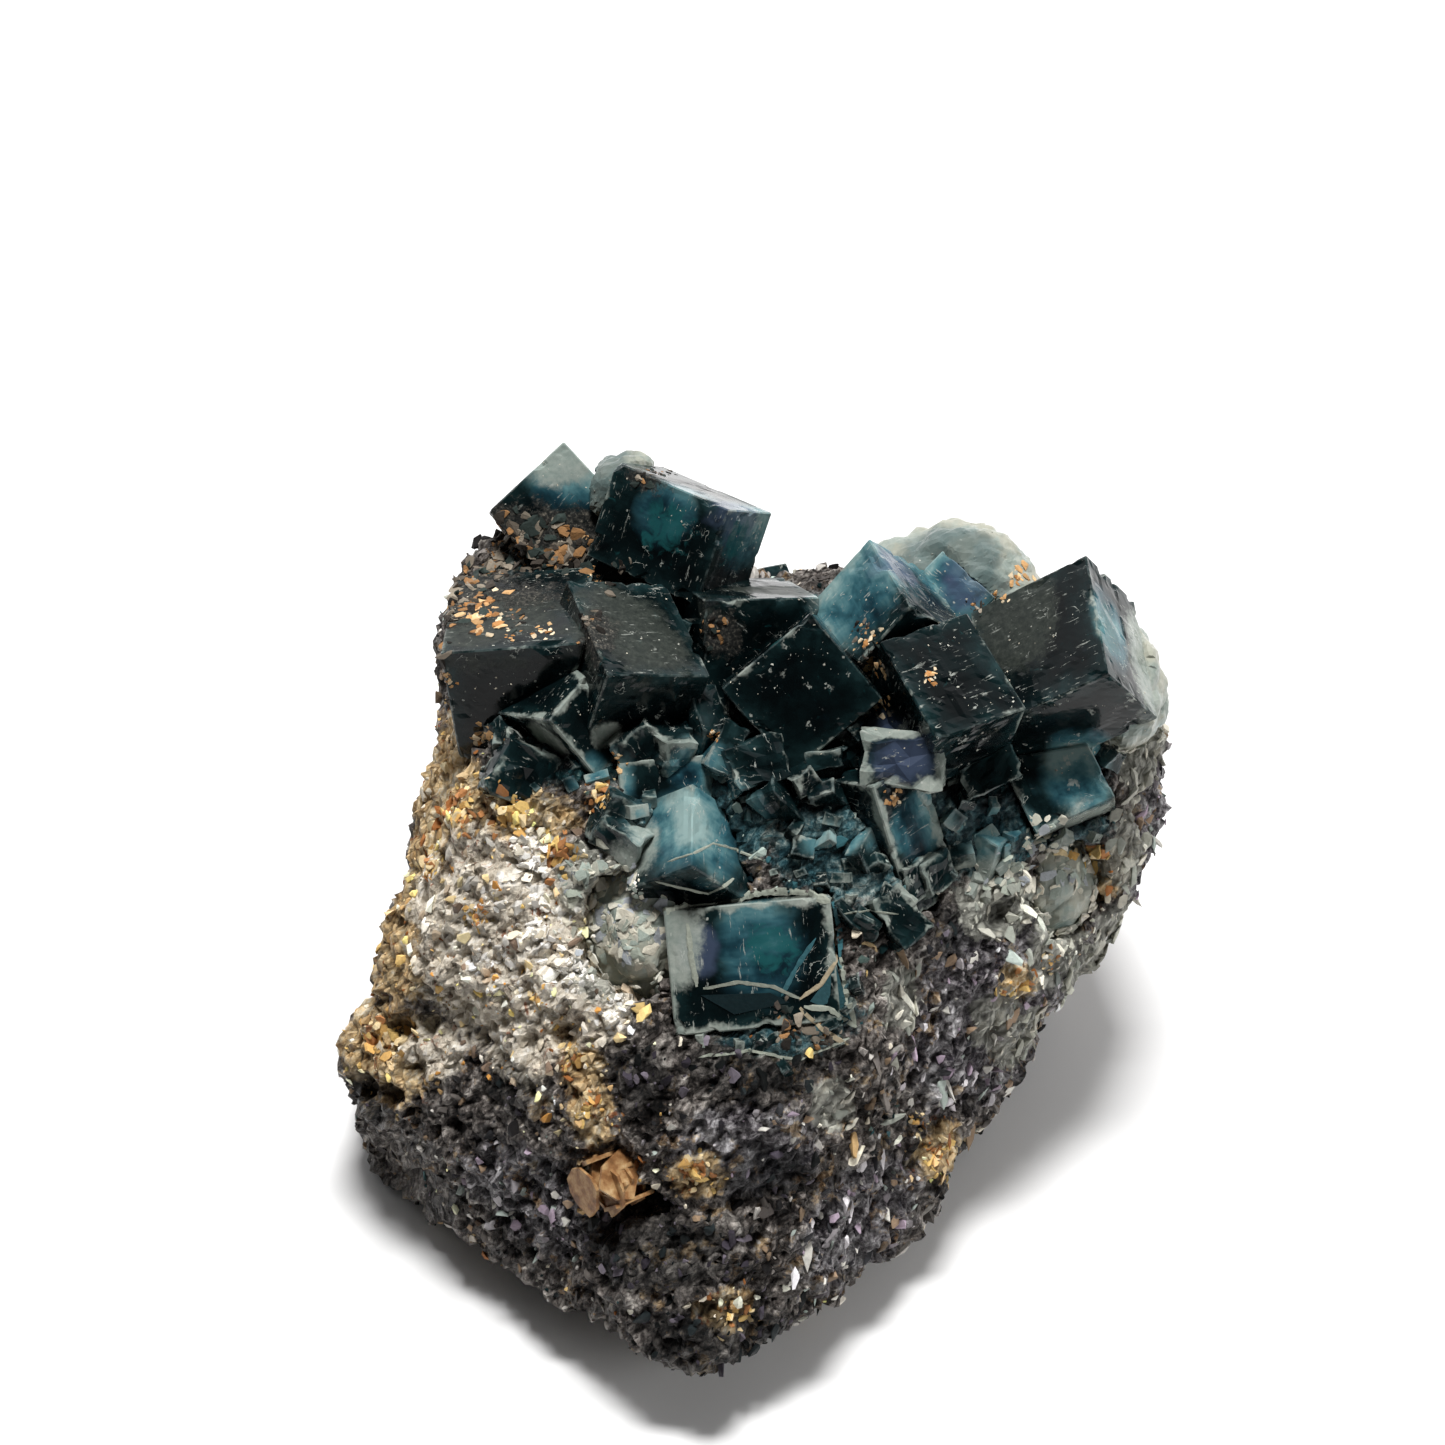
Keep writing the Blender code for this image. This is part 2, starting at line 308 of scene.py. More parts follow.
rockTints = {
    "grain": [(0.00, (0.004, 0.004, 0.004)), (0.26, (0.024, 0.020, 0.018)),
              (0.44, (0.095, 0.082, 0.074)), (0.60, (0.215, 0.190, 0.172)),
              (0.76, (0.370, 0.335, 0.305)), (0.90, (0.540, 0.500, 0.450)),
              (1.00, (0.700, 0.660, 0.600))],
    "plumGrain": [(0.00, (0.007, 0.006, 0.008)), (0.30, (0.040, 0.034, 0.041)),
                  (0.55, (0.205, 0.190, 0.196)), (0.78, (0.450, 0.435, 0.440)),
                  (1.00, (0.720, 0.700, 0.710))],
    "ochreGrain": [(0.00, (0.050, 0.024, 0.010)), (0.25, (0.280, 0.160, 0.065)),
                   (0.50, (0.560, 0.390, 0.200)), (0.75, (0.740, 0.560, 0.320)),
                   (1.00, (0.820, 0.740, 0.580))],
    "chalkGrain": [(0.00, (0.060, 0.045, 0.036)), (0.25, (0.290, 0.240, 0.190)),
                   (0.50, (0.700, 0.620, 0.500)), (0.75, (0.840, 0.770, 0.650)),
                   (1.00, (0.920, 0.880, 0.800))],
    "druseGrain": [(0.00, (0.0015, 0.003, 0.004)), (0.45, (0.004, 0.013, 0.015)),
                   (0.72, (0.012, 0.045, 0.050)), (0.88, (0.060, 0.110, 0.105)),
                   (1.00, (0.260, 0.300, 0.270))],
    "tealGrain": [(0.00, (0.003, 0.010, 0.013)), (0.35, (0.012, 0.040, 0.050)),
                  (0.60, (0.050, 0.115, 0.130)), (0.82, (0.170, 0.250, 0.250)),
                  (1.00, (0.440, 0.500, 0.460))],
    "white": (0.860, 0.830, 0.770), "pale": (0.500, 0.495, 0.430), "rust": (0.300, 0.085, 0.022),
}
# round holes left by lost grains: place, radius and depth in mm
rockPits = [((-31.9, -10.4, 21.5), 1.5, 1.7), ((-29.1, -10.9, 22.8), 1.2, 1.4),
            ((-30.5, -13.7, 20.2), 1.4, 1.6), ((-34.8, -13.3, 16.4), 1.3, 1.3),
            ((-33.6, -8.6, 20.0), 1.0, 1.1), ((-32.6, -14.8, 17.6), 1.1, 1.2)]


def rockPaint():
    paint = Paint("hostRock")
    spot = paint.spot
    drift = paint.noise(0.16, 2.0, output="Color")
    bent = paint.vector("ADD", spot, paint.vector("SCALE", drift, 5.0))
    along = paint.vector("DOT_PRODUCT", bent, rock["streak"])
    pulled = paint.vector("SUBTRACT", bent, paint.vector(
        "SCALE", paint.vector("SCALE", paint.add("ShaderNodeCombineXYZ", {}, rock["streak"]), 1.0),
        along * 0.62))
    coarse = paint.cells(0.85, pulled, output="Color")
    fine = paint.cells(2.1, pulled, output="Color")
    speck = paint.noise(3.2, 4.0, 0.7)
    patch = paint.noise(0.22, 3.0, 0.6)
    torn = paint.noise(1.25, 6.0, 0.78, warp=0.7)
    tone = paint.red(coarse) * 0.30 + paint.red(fine) * 0.24 + (speck - 0.5) * 0.7
    tone = tone + (patch - 0.5) * 0.8 + (torn - 0.5) * 1.7 + 0.26
    colour = paint.ramp(tone, rockTints["grain"])
    edgeNoise = (paint.noise(0.7, 4.0, 0.65) - 0.5) * 1.1
    colour = paint.mix(paint.fade(paint.kept("plum") + edgeNoise, 0.30, 0.62), colour,
                       paint.ramp(tone, rockTints["plumGrain"]))
    tan = paint.fade(paint.noise(0.30, 6.0, 0.75, where=paint.vector("ADD", spot, (3, 8, 5))), 0.56, 0.62)
    colour = paint.mix(tan * 0.6, colour, paint.ramp(tone - 0.12, rockTints["ochreGrain"]))
    colour = paint.mix(paint.fade(paint.kept("ochre") + edgeNoise * 1.3, 0.34, 0.66), colour,
                       paint.ramp(tone + 0.08, rockTints["ochreGrain"]))
    chalky = paint.fade(paint.kept("chalk") + edgeNoise * 1.2, 0.30, 0.60)
    colour = paint.mix(chalky, colour, paint.ramp(tone + 0.06, rockTints["chalkGrain"]))
    rust = paint.fade(paint.noise(0.55, 5.0, 0.7, warp=0.6), 0.60, 0.66) * paint.fade(
        paint.kept("ochre"), 0.10, 0.45)
    colour = paint.mix(rust * 0.8, colour, rockTints["rust"])
    colour = paint.mix(paint.fade(paint.kept("dark"), 0.15, 0.8) * 0.62, colour, (0.006, 0.009, 0.010))
    paleMask = paint.fade(paint.kept("pale") + edgeNoise, 0.42, 0.62)
    palePatch = paint.mix(speck, (0.33, 0.335, 0.290), rockTints["pale"])
    colour = paint.mix(paleMask * 0.85, colour, palePatch)
    tealMask = paint.fade(paint.kept("teal") + edgeNoise * 0.8, 0.30, 0.55)
    colour = paint.mix(tealMask, colour, paint.ramp(tone + 0.05, rockTints["tealGrain"]))
    druseMask = paint.fade(paint.kept("druse") + edgeNoise * 0.5, 0.28, 0.50)
    colour = paint.mix(druseMask, colour, paint.ramp(tone - 0.04, rockTints["druseGrain"]))
    flake = paint.fade(paint.noise(0.62, 3.0, 0.6, warp=0.4), 0.56, 0.60) * paint.fade(
        paint.kept("white"), 0.15, 0.5)
    colour = paint.mix(flake * 0.92, colour, rockTints["white"])
    # painted shade: the colour is darkened along the cracks between grains (shade) and in the hollows and pits
    # (hollow), less so on chalky ground
    crack = paint.cells(0.85, pulled, "DISTANCE_TO_EDGE")
    shade = paint.fade(crack, 0.0, 0.22) * 0.5 + 0.5
    hollow = paint.fade(paint.kept("hollow"), 0.0, 0.55) * 0.62 + 0.38
    colour = paint.vector("SCALE", colour, (shade * hollow).most(chalky * 0.8))
    height = paint.fade(crack, 0.0, 0.35) * 0.7 + speck * 0.6 + paint.red(fine) * 0.5
    gloss = paint.red(paint.cells(1.5, pulled, output="Color"))
    glassy = druseMask.most(tealMask)
    dull = 0.82 - paint.fade(gloss, 0.62, 0.72) * 0.45
    return paint.finish(
        Base_Color=colour,
        Roughness=dull - glassy * 0.42,
        Normal=paint.bump(height, 0.75, 0.45),
        Specular_IOR_Level=0.45,
    )


def buildRock():
    mesh = nodes["matrix"].data.copy()
    rough = bpy.data.objects.new("roughRock", mesh)
    scene.collection.objects.link(rough)
    remesh = rough.modifiers.new("even", "REMESH")
    remesh.mode = "VOXEL"
    remesh.voxel_size = rock["voxel"] * mm
    graph = bpy.context.evaluated_depsgraph_get()
    mesh = bpy.data.meshes.new_from_object(rough.evaluated_get(graph))
    bpy.data.objects.remove(rough)
    points, normals = readPoints(mesh), readNormals(mesh)
    weights = {}
    for name, spots in rockZones.items():
        weights[name] = np.max([blob(points, centre, radii) for centre, radii in spots], axis=0)
    calm = 1 - (1 - rock["calm"]) * smooth(np.maximum(weights["druse"], weights["teal"]), 0.2, 0.6)
    calm *= 1 - 0.45 * smooth(weights["pale"], 0.3, 0.7)
    streak = np.array(rock["streak"])
    pulled = points - np.outer(points @ streak, streak) * 0.6
    cells = [noise.voronoi(Vector(p) / rock["grainSize"])[0] for p in pulled]
    hollow = np.array([d[1] - d[0] for d in cells])
    grain = np.minimum(hollow * 1.9, 1.0) ** 0.7
    lumps = sampleNoise(points, 0.22) + 0.5 * sampleNoise(points, 0.55, (3, 7, 1))
    ridges = 1 - 2 * np.abs(sampleNoise(pulled, 0.42, (5, 1, 8)))
    onRight = smooth(normals[:, 0], 0.1, 0.7)
    rise = rock["swell"] + rock["grainHeight"] * (grain - 0.55) * calm
    torn = np.array([noise.fractal(Vector(p) * 0.8, 0.6, 2.3, 3) for p in points])
    rise += rock["ragged"] * torn * (0.4 + 0.6 * calm)
    rise += rock["lumpHeight"] * lumps * calm * 0.6
    rise += rock["streakHeight"] * (ridges - 0.6) * onRight * calm * 0.7
    random = np.random.default_rng(29)
    dry = np.flatnonzero((weights["druse"] < 0.1) & (weights["teal"] < 0.1) & (points[:, 2] > 3))
    holes = [(points[i], 0.5 + 0.9 * random.random() ** 2, 0.5 + 0.8 * random.random())
             for i in random.choice(dry, rock["holes"], replace=False)]
    sunk = np.zeros(len(points))
    for centre, radius, depth in rockPits + holes:
        reach = np.linalg.norm(points - np.array(centre), axis=1) / radius
        sunk = np.maximum(sunk, depth * np.exp(-1.3 * reach ** 4))
    rise -= sunk
    resting = smooth(points[:, 2], 0.2, 1.6)
    points += normals * (rise * resting)[:, None]
    eye = np.array(view["target"]) + view["distance"] * np.array(
        [0, -cos(radians(view["elevation"])), sin(radians(view["elevation"]))])
    share = smooth(points[:, 0], *rock["settled"])
    share *= smooth(points[:, 2], rock["settledHeight"], rock["settledHeight"] / 2)
    share *= smooth(points[:, 1], 12, -2)
    fall = share * np.maximum(points[:, 2] - rock["settledFoot"], 0)
    points += (points - eye) * (fall / (eye[2] - points[:, 2]))[:, None]
    points[:, 2] = np.maximum(points[:, 2], 0.0)
    writePoints(mesh, points)
    for name, weight in weights.items():
        storeNumber(mesh, name, weight)
    # the hollow number is painted shade in rockPaint: darker between grains and in the pits
    storeNumber(mesh, "hollow", np.clip(grain, 0, 1) * (1 - 0.9 * smooth(sunk, 0.15, 0.9)))
    for face in mesh.polygons:
        face.use_smooth = False
    return addPiece("hostRock", mesh, rockPaint(), ["matrix"])


hostRock = buildRock()
print("rock built,", len(hostRock.data.polygons), "faces")


# the crystals
crystal = {
    "bevel": 0.12, "grid": 0.46, "chip": 0.60, "chipReach": 0.8, "terrace": 0.05,
    "plates": 0.07,  # height of the square plates stacked on the faces
}
crystalSlots = {row["node"]: row["material_slot"] for row in frame["record"]["subparts"]}
cubeNames = sorted(
    name for name, slot in crystalSlots.items() if slot in ("dark_fluorite", "blue_fluorite")
)
massNames = sorted(name for name, slot in crystalSlots.items() if slot == "pale_fluorite")
# soft zones over the crystals: blue inside with painted light showing through (the light and glow zones),
# violet bands, grains grown over the faces
crystalZones = {
    "blue": [((-16, 32, 50), (7, 6, 6)), ((0, 23.5, 50), (5, 6, 6)), ((-7, 25, 51), (6, 4, 4)), ((9.5, 19, 47), (7, 8, 8)),
             ((17, 24, 44), (8, 8, 8)), ((-5, -3, 41), (8, 6, 7)), ((0, -11, 35), (5, 6, 6)),
             ((-5, 3, 42), (5, 3, 4)), ((28, 4, 40), (5, 5, 5)), ((-13, 2, 41), (4, 3, 4)),
             ((21, 0, 36), (5, 4, 4)), ((30, 12, 49), (2.5, 6, 5)), ((14, -1, 39), (5, 4, 4)),
             ((7, -2, 38.5), (5, 3, 3))],
    "matt": [((-10, 12.5, 49.3), (9, 8, 2.4)), ((22.5, 16, 47), (8, 8, 4)),
             ((-24, 15, 48), (9, 9, 2)), ((2, 19, 47), (6, 3, 2.5))],
    "light": [((7, 18.5, 47.5), (4, 4.5, 5)), ((-6, -3, 42), (6, 4, 5)), ((0.8, 23, 50.5), (3, 4.5, 4.5)),
              ((31, 12, 49), (2, 5, 5)), ((27.2, 5.7, 41), (4, 3.5, 3)),
              ((-17, 32, 50), (5, 4, 4))],
    "violet": [((12.3, 1.4, 44.8), (4, 3, 3)), ((-1, 23.5, 52), (4.5, 4, 4)), ((13, 6, 41), (6, 5, 5)), ((-5, -11, 35), (2.6, 3, 3)),
               ((12, 20, 48), (3, 4, 4)), ((19, 22, 45), (3, 4, 4))],
    "coat": [((-25, 26, 45), (9, 9, 9)), ((-26, 18, 47), (5, 7, 4)), ((-21, 19, 49), (8, 5, 5)), ((-13.5, 11, 50.5), (2.5, 5, 5)),
             ((-3, 13, 48), (3, 3, 4)), ((-10, 27, 54), (5, 5, 3)), ((-18, 27, 46), (6, 5, 5))],
    "chalky": [((-28, 14, 45), (3, 9, 6)), ((-18, 4.5, 43.5), (3, 2.5, 3)), ((-18, 32, 51), (5, 4, 4)), ((34, 12, 44), (3.5, 9, 8)),
               ((28, 2, 36), (5, 4, 4)), ((-10, -4, 39), (4, 4, 4)), ((16, 5, 43.5), (4, 2.5, 2)),
               ((-22, 33, 44), (6, 6, 6)), ((-7.5, -11.5, 36), (4.5, 6, 5)), ((20, -3, 34), (5, 3, 4)),
               ((-13, 5, 44), (2, 2, 2))],
    "glow": [((-7.5, 23.5, 50.5), (4.6, 3.6, 3.6)), ((-2.3, 22.8, 50), (3.4, 3.2, 3.2)),
             ((29.8, 12, 49.5), (2.0, 4.5, 3.5)), ((1, -11, 35.5), (3.4, 3.4, 3.0)),
             ((1.5, 10.5, 49.6), (1.2, 1.2, 1.2)), ((-20, 21, 47.5), (1.5, 1.5, 1.5))],
}
crystalTints = {
    "dark": [(0.00, (0.0130, 0.0330, 0.0350)), (0.30, (0.0050, 0.0140, 0.0150)),
             (0.62, (0.0022, 0.0060, 0.0066)), (1.00, (0.0012, 0.0026, 0.0030))],
    "blue": [(0.00, (0.230, 0.330, 0.320)), (0.28, (0.090, 0.195, 0.210)),
             (0.52, (0.032, 0.100, 0.122)), (0.78, (0.010, 0.038, 0.052)),
             (1.00, (0.004, 0.013, 0.019))],
    "matt": [(0.25, (0.006, 0.009, 0.008)), (0.50, (0.026, 0.031, 0.026)),
             (0.75, (0.066, 0.074, 0.062)), (1.00, (0.200, 0.190, 0.150))],
    "coat": [(0.00, (0.008, 0.009, 0.009)), (0.45, (0.028, 0.028, 0.026)),
             (0.75, (0.110, 0.102, 0.086)), (1.00, (0.400, 0.340, 0.250))],
    "pale": [(0.00, (0.110, 0.145, 0.128)), (0.40, (0.230, 0.270, 0.240)),
             (0.70, (0.370, 0.395, 0.350)), (1.00, (0.540, 0.530, 0.460))],
    "violet": (0.055, 0.075, 0.125), "teal": (0.012, 0.085, 0.088), "speck": (0.400, 0.420, 0.380),
}


def crystalPaint(name, isPale=False):
    paint = Paint(name)
    spot = paint.spot
    inner = paint.add("ShaderNodeAttribute", {"attribute_name": "grown"}, {}, "Vector")
    cloud = paint.noise(0.30, 4.0, 0.6, warp=0.5)
    rim = paint.kept("rim")
    veil = paint.noise(0.55, 3.0, 0.6, where=paint.vector("MULTIPLY", inner, (1.0, 0.35, 1.0)))
    # painted light: lighter teal near the thin edges and darker deep inside, standing in for light passing
    # through the crystal
    depth = paint.fade(rim, 0.0, 2.6) * 0.50 + (cloud - 0.5) * 1.3 + (veil - 0.5) * 1.1 + 0.36
    fine = paint.noise(2.4, 4.0, 0.65)
    if isPale:
        shady = paint.fade(paint.kept("blue") + (cloud - 0.5), 0.20, 0.60)
        colour = paint.ramp(cloud * 0.9 + (fine - 0.5) * 0.5 + 0.05, crystalTints["pale"])
        tealish = paint.fade(paint.noise(0.21, 3.0, 0.5), 0.52, 0.70)
        colour = paint.mix(tealish * 0.35, colour, (0.08, 0.17, 0.17))
        beige = paint.fade(paint.noise(0.33, 4.0, 0.6), 0.42, 0.62)
        colour = paint.mix(beige * 0.45, colour, (0.40, 0.36, 0.27))
        colour = paint.mix(shady * 0.7, colour, (0.040, 0.075, 0.078))
    else:
        colour = paint.ramp(depth, crystalTints["dark"])
        blueMask = paint.fade(paint.kept("blue") + (cloud - 0.5) * 1.1, 0.16, 0.72)
        # painted light: the light zones make the blue lighter where light would show through the crystal
        lit = depth - 0.10 - paint.kept("light") * 0.45
        colour = paint.mix(blueMask, colour, paint.ramp(lit, crystalTints["blue"]))
        violet = paint.fade(paint.kept("violet") + (paint.noise(0.5, 3.0) - 0.5) * 0.9, 0.15, 0.75)
        colour = paint.mix(violet * 0.7, colour, crystalTints["violet"])
        flame = paint.noise(0.75, 4.0, 0.62, warp=0.8)
        # painted light: a teal glow where light would shine through thin parts of the crystals
        glow = paint.fade(paint.kept("glow") + (flame - 0.5) * 2.6, 0.35, 1.0)
        colour = paint.mix(glow * 0.75, colour, crystalTints["teal"])
        haze = paint.fade(paint.kept("chalky") + (cloud - 0.5) * 1.1 + (fine - 0.5) * 0.4, 0.30, 0.75)
        uneven = (paint.noise(0.33, 4.0, 0.65) - 0.44) * 2.6
        paleRim = paint.fade(paint.kept("zoned") - rim * 0.75 + uneven, 0.10, 0.50)
        colour = paint.mix(paleRim.most(haze) * 0.82, colour,
                           paint.ramp(cloud * 0.7 + fine * 0.5 - 0.1, crystalTints["pale"]))
    dots = paint.cells(0.95)
    chance = paint.red(paint.cells(0.95, output="Color"))
    ragged = paint.noise(3.6, 3.0, 0.7) * 0.22
    specks = paint.fade(dots + ragged, 0.25, 0.18) * paint.fade(chance, 0.86, 0.90)
    flecks = paint.fade(paint.noise(1.9, 3.0, 0.7), 0.71, 0.75) * paint.fade(cloud, 0.45, 0.6)
    thread = paint.noise(0.42, 3.0, 0.6, warp=0.8) - 0.5
    threads = paint.fade(thread * thread, 0.00007, 0.00002) * paint.fade(
        paint.noise(0.30, 2.0, where=paint.vector("ADD", spot, (9.0, 4.0, 7.0))), 0.60, 0.66)
    dashed = paint.noise(1.1, 4.0, 0.7, where=paint.vector("MULTIPLY", inner, (0.5, 3.2, 0.5)))
    dashes = paint.fade(dashed, 0.605, 0.645) * paint.fade(paint.noise(0.5, 3.0, 0.6), 0.46, 0.56)
    marks = specks.most(threads).most(flecks).most(dashes * 0.8) * (0.25 if isPale else 0.75)
    colour = paint.mix(marks, colour, crystalTints["speck"])
    if not isPale:
        matt = paint.fade(paint.kept("matt") + (paint.noise(0.6, 5.0, 0.7) - 0.5) * 1.4, 0.20, 0.62)
        worn = paint.ramp(paint.noise(1.6, 6.0, 0.8), crystalTints["matt"])
        colour = paint.mix(matt * (1.0 - marks) * 0.8, colour, worn)
    # painted highlight: a pale line along the crystal edges, standing in for light caught on the bevels
    paintedEdgeHighlight = paint.fade(rim, 0.20, 0.03) * paint.fade(paint.noise(0.7, 4.0, 0.7), 0.44, 0.62)
    colour = paint.mix(paintedEdgeHighlight * 0.6, colour, (0.150, 0.190, 0.185))
    coatGrain = paint.ramp((paint.noise(3.4, 4.0, 0.75) - 0.5) * 2.4 + 0.42, crystalTints["coat"])
    coat = paint.fade(paint.kept("coat") + (paint.noise(0.75, 6.0, 0.78) - 0.5) * 2.4, 0.45, 0.85)
    colour = paint.mix(coat * (0.3 if isPale else 0.88), colour, coatGrain)
    squares = {"feature": "F1", "distance": "CHEBYCHEV"}
    hillock = paint.add("ShaderNodeTexVoronoi", squares, {"Vector": inner, "Scale": 0.34})
    steps = paint.add("ShaderNodeMath", {"operation": "SNAP"}, [hillock, 0.16])
    height = steps * 0.5 + paint.noise(0.5, 2.0) * 0.25 + coat * fine * 1.6 + marks * 0.25
    rough = paint.fade(paint.noise(0.35, 3.0, 0.6), 0.45, 0.75) * 0.14
    base = 0.30 if isPale else 0.10
    return paint.finish(
        Base_Color=colour,
        Roughness=rough + base + coat * 0.50 + marks * 0.3 + (0.0 if isPale else matt * 0.28),
        Normal=paint.bump(height, 0.35 if isPale else 0.30, 0.16),
        IOR=1.434,
        Specular_IOR_Level=0.5 if isPale else 0.3,
    )


darkPaint = crystalPaint("zonedFluorite")
palePaint = crystalPaint("paleFluorite", True)
hulls = {}  # node: (points on the faces, outward normals), for keeping other pieces clear


def zoneWeights(mesh, points, zones):
    for name, spots in zones.items():
        storeNumber(mesh, name, np.max([blob(points, c, r) for c, r in spots], axis=0))


def distanceToEdges(points, edges):
    best = np.full(len(points), 99.0)
    for a, b in edges:
        span = b - a
        t = np.clip((points - a) @ span / (span @ span), 0, 1)
        best = np.minimum(best, np.linalg.norm(points - a - np.outer(t, span), axis=1))
    return best


def inOrder(shape):
    # the same corners and faces, sorted so that they come in one order on every run
    verts = sorted(shape.verts, key=lambda vert: vert.co[:])
    rank = {vert: i for i, vert in enumerate(verts)}
    loops = []
    for face in shape.faces:
        loop = [rank[vert] for vert in face.verts]
        first = loop.index(min(loop))
        loops.append(loop[first:] + loop[:first])
    ordered = bmesh.new()
    corners = [ordered.verts.new(vert.co) for vert in verts]
    for loop in sorted(loops):
        ordered.faces.new([corners[i] for i in loop])
    shape.free()
    ordered.normal_update()
    return ordered


def crystalHull(name):
    # the crystal's convex form with its facets made whole, in mm
    shape = bmesh.new()
    for vert in nodes[name].data.vertices:
        shape.verts.new(vert.co / mm)
    bmesh.ops.remove_doubles(shape, verts=shape.verts, dist=0.05)
    bmesh.ops.convex_hull(shape, input=shape.verts)
    spare = [vert for vert in shape.verts if not vert.link_faces]
    bmesh.ops.delete(shape, geom=spare, context="VERTS")
    bmesh.ops.dissolve_limit(
        shape, angle_limit=radians(3), verts=shape.verts, edges=shape.edges, delimit=set()
    )
    return inOrder(shape)


def growCube(name, seed):
    shape = crystalHull(name)
    faces = sorted(shape.faces, key=lambda face: -face.calc_area())
    hulls[name] = (np.array([f.calc_center_median() for f in faces]),
                   np.array([f.normal for f in faces]))
    edges = [(np.array(e.verts[0].co), np.array(e.verts[1].co)) for e in shape.edges]
    longest = max(shape.edges, key=lambda edge: edge.calc_length())
    first = faces[0].normal.copy()
    second = (longest.verts[1].co - longest.verts[0].co).normalized()
    second = (second - first * second.dot(first)).normalized()
    axes = [first, second, first.cross(second)]
    centre = sum((v.co for v in shape.verts), Vector()) / len(shape.verts)
    bmesh.ops.bevel(
        shape, geom=shape.edges[:] + shape.verts[:], offset=crystal["bevel"],
        segments=1, affect="EDGES", clamp_overlap=True,
    )
    for axis in axes:
        reach = [(v.co - centre).dot(axis) for v in shape.verts]
        low, high = min(reach), max(reach)
        count = max(2, int((high - low) / crystal["grid"]))
        for step in range(1, count):
            place = centre + axis * (low + (high - low) * step / count)
            bmesh.ops.bisect_plane(
                shape, geom=shape.verts[:] + shape.edges[:] + shape.faces[:],
                plane_co=place, plane_no=axis, dist=0.01,
            )
    shape = inOrder(shape)
    mesh = bpy.data.meshes.new(name)
    shape.to_mesh(mesh)
    shape.free()
    points = np.array([v.co for v in mesh.vertices])
    rim = distanceToEdges(points, edges)
    local = (points - np.array(centre)) @ np.array([list(a) for a in axes]).T
    broken = sampleNoise(points, 0.75, (seed, 3, 1)) - 0.22
    chips = crystal["chip"] * np.clip(broken, 0, 1) * np.exp(-(rim / crystal["chipReach"]) ** 2) * 2
    inward = points - np.array(centre)
    inward /= np.linalg.norm(inward, axis=1)[:, None]
    terraces = np.round(sampleNoise(points, 0.16, (seed, seed, 5)) * 5) / 5
    normals = readNormals(mesh)
    plates = np.zeros(len(points))
    for scale, share in ((0.20, 1.0), (0.45, 0.6)):
        near = [noise.voronoi(Vector(p) * scale + Vector((seed, 0, 0)), distance_metric="CHEBYCHEV")
                for p in local]
        plates += share * np.array([noise.cell(found[1][0] * 5.3) for found in near])
    plates = crystal["plates"] * np.round(plates * 2.5) / 2.5
    plates *= smooth(sampleNoise(points, 0.14, (seed * 2, 1, 6)), -0.12, 0.12)
    points -= inward * chips[:, None]
    rise = crystal["terrace"] * terraces - np.abs(plates)
    points += normals * (rise * smooth(rim, 0.15, 0.6))[:, None]
    writePoints(mesh, points)
    storeNumber(mesh, "rim", rim)
    zoned = {"front_window_crystal": 0.50, "pale_window_cube": 0.85, "lower_left_blade": 0.35,
             "slanted_cleavage_slab": 0.45, "teal_cleavage_step": 0.4}
    storeNumber(mesh, "zoned", np.full(len(points), zoned.get(name, 0.0)))
    layer = mesh.attributes.new("grown", "FLOAT_VECTOR", "POINT")
    layer.data.foreach_set("vector", (local + seed * 3.1).astype(np.float32).ravel())
    zoneWeights(mesh, points, crystalZones)
    words = name.split("_")
    title = words[0] + "".join(word.capitalize() for word in words[1:])
    return addPiece(title, mesh, darkPaint, [name])


massShift = {"pale_front_rim": (0.2, 0.9, -1.0), "pale_right_patch": (-0.6, 1.0, -0.8)}  # mm


# masses that lie flatter against the rock, and the way they face
massFlat = {"pale_front_rim": (-0.25, -0.62, 0.74), "pale_right_patch": (0.30, -0.60, 0.74)}


def growMass(name, seed):
    # a cleaved, waxy mass: the CAD lump with broken facets
    mesh = nodes[name].data.copy()
    rough = bpy.data.objects.new("roughMass", mesh)
    scene.collection.objects.link(rough)
    remesh = rough.modifiers.new("even", "REMESH")
    remesh.mode = "VOXEL"
    remesh.voxel_size = 0.42 * mm
    graph = bpy.context.evaluated_depsgraph_get()
    mesh = bpy.data.meshes.new_from_object(rough.evaluated_get(graph))
    bpy.data.objects.remove(rough)
    points, normals = readPoints(mesh), readNormals(mesh)
    near = [noise.voronoi(Vector(p) * 0.26 + Vector((seed, 0, 0)))[0] for p in points]
    steps = np.array([d[1] - d[0] for d in near])
    small = np.array([noise.voronoi(Vector(p) * 0.9 + Vector((seed, 5, 0)))[0][0] for p in points])
    rise = 0.9 * np.minimum(steps, 0.5) - 0.35 * small + 0.35 * sampleNoise(points, 0.5, (seed, 1, 2))
    points += normals * (rise + 0.25)[:, None] + np.array(massShift.get(name, (0, 0, 0)))
    if name in massFlat:
        way = np.array(massFlat[name])
        high = (points - points.mean(axis=0)) @ way
        points -= np.outer(np.clip(high + 0.5, 0, None) * 0.33, way)
    writePoints(mesh, points)
    storeNumber(mesh, "rim", np.full(len(points), 2.0))
    storeNumber(mesh, "zoned", np.zeros(len(points)))
    zoneWeights(mesh, points, crystalZones)
    words = name.split("_")
    title = words[0] + "".join(word.capitalize() for word in words[1:])
    return addPiece(title, mesh, palePaint, [name])


cubes = [growCube(name, seed) for seed, name in enumerate(cubeNames, 1)]
masses = [growMass(name, seed) for seed, name in enumerate(massNames, 40)]
print("crystals grown,", sum(len(p.data.polygons) for p in cubes + masses), "faces")


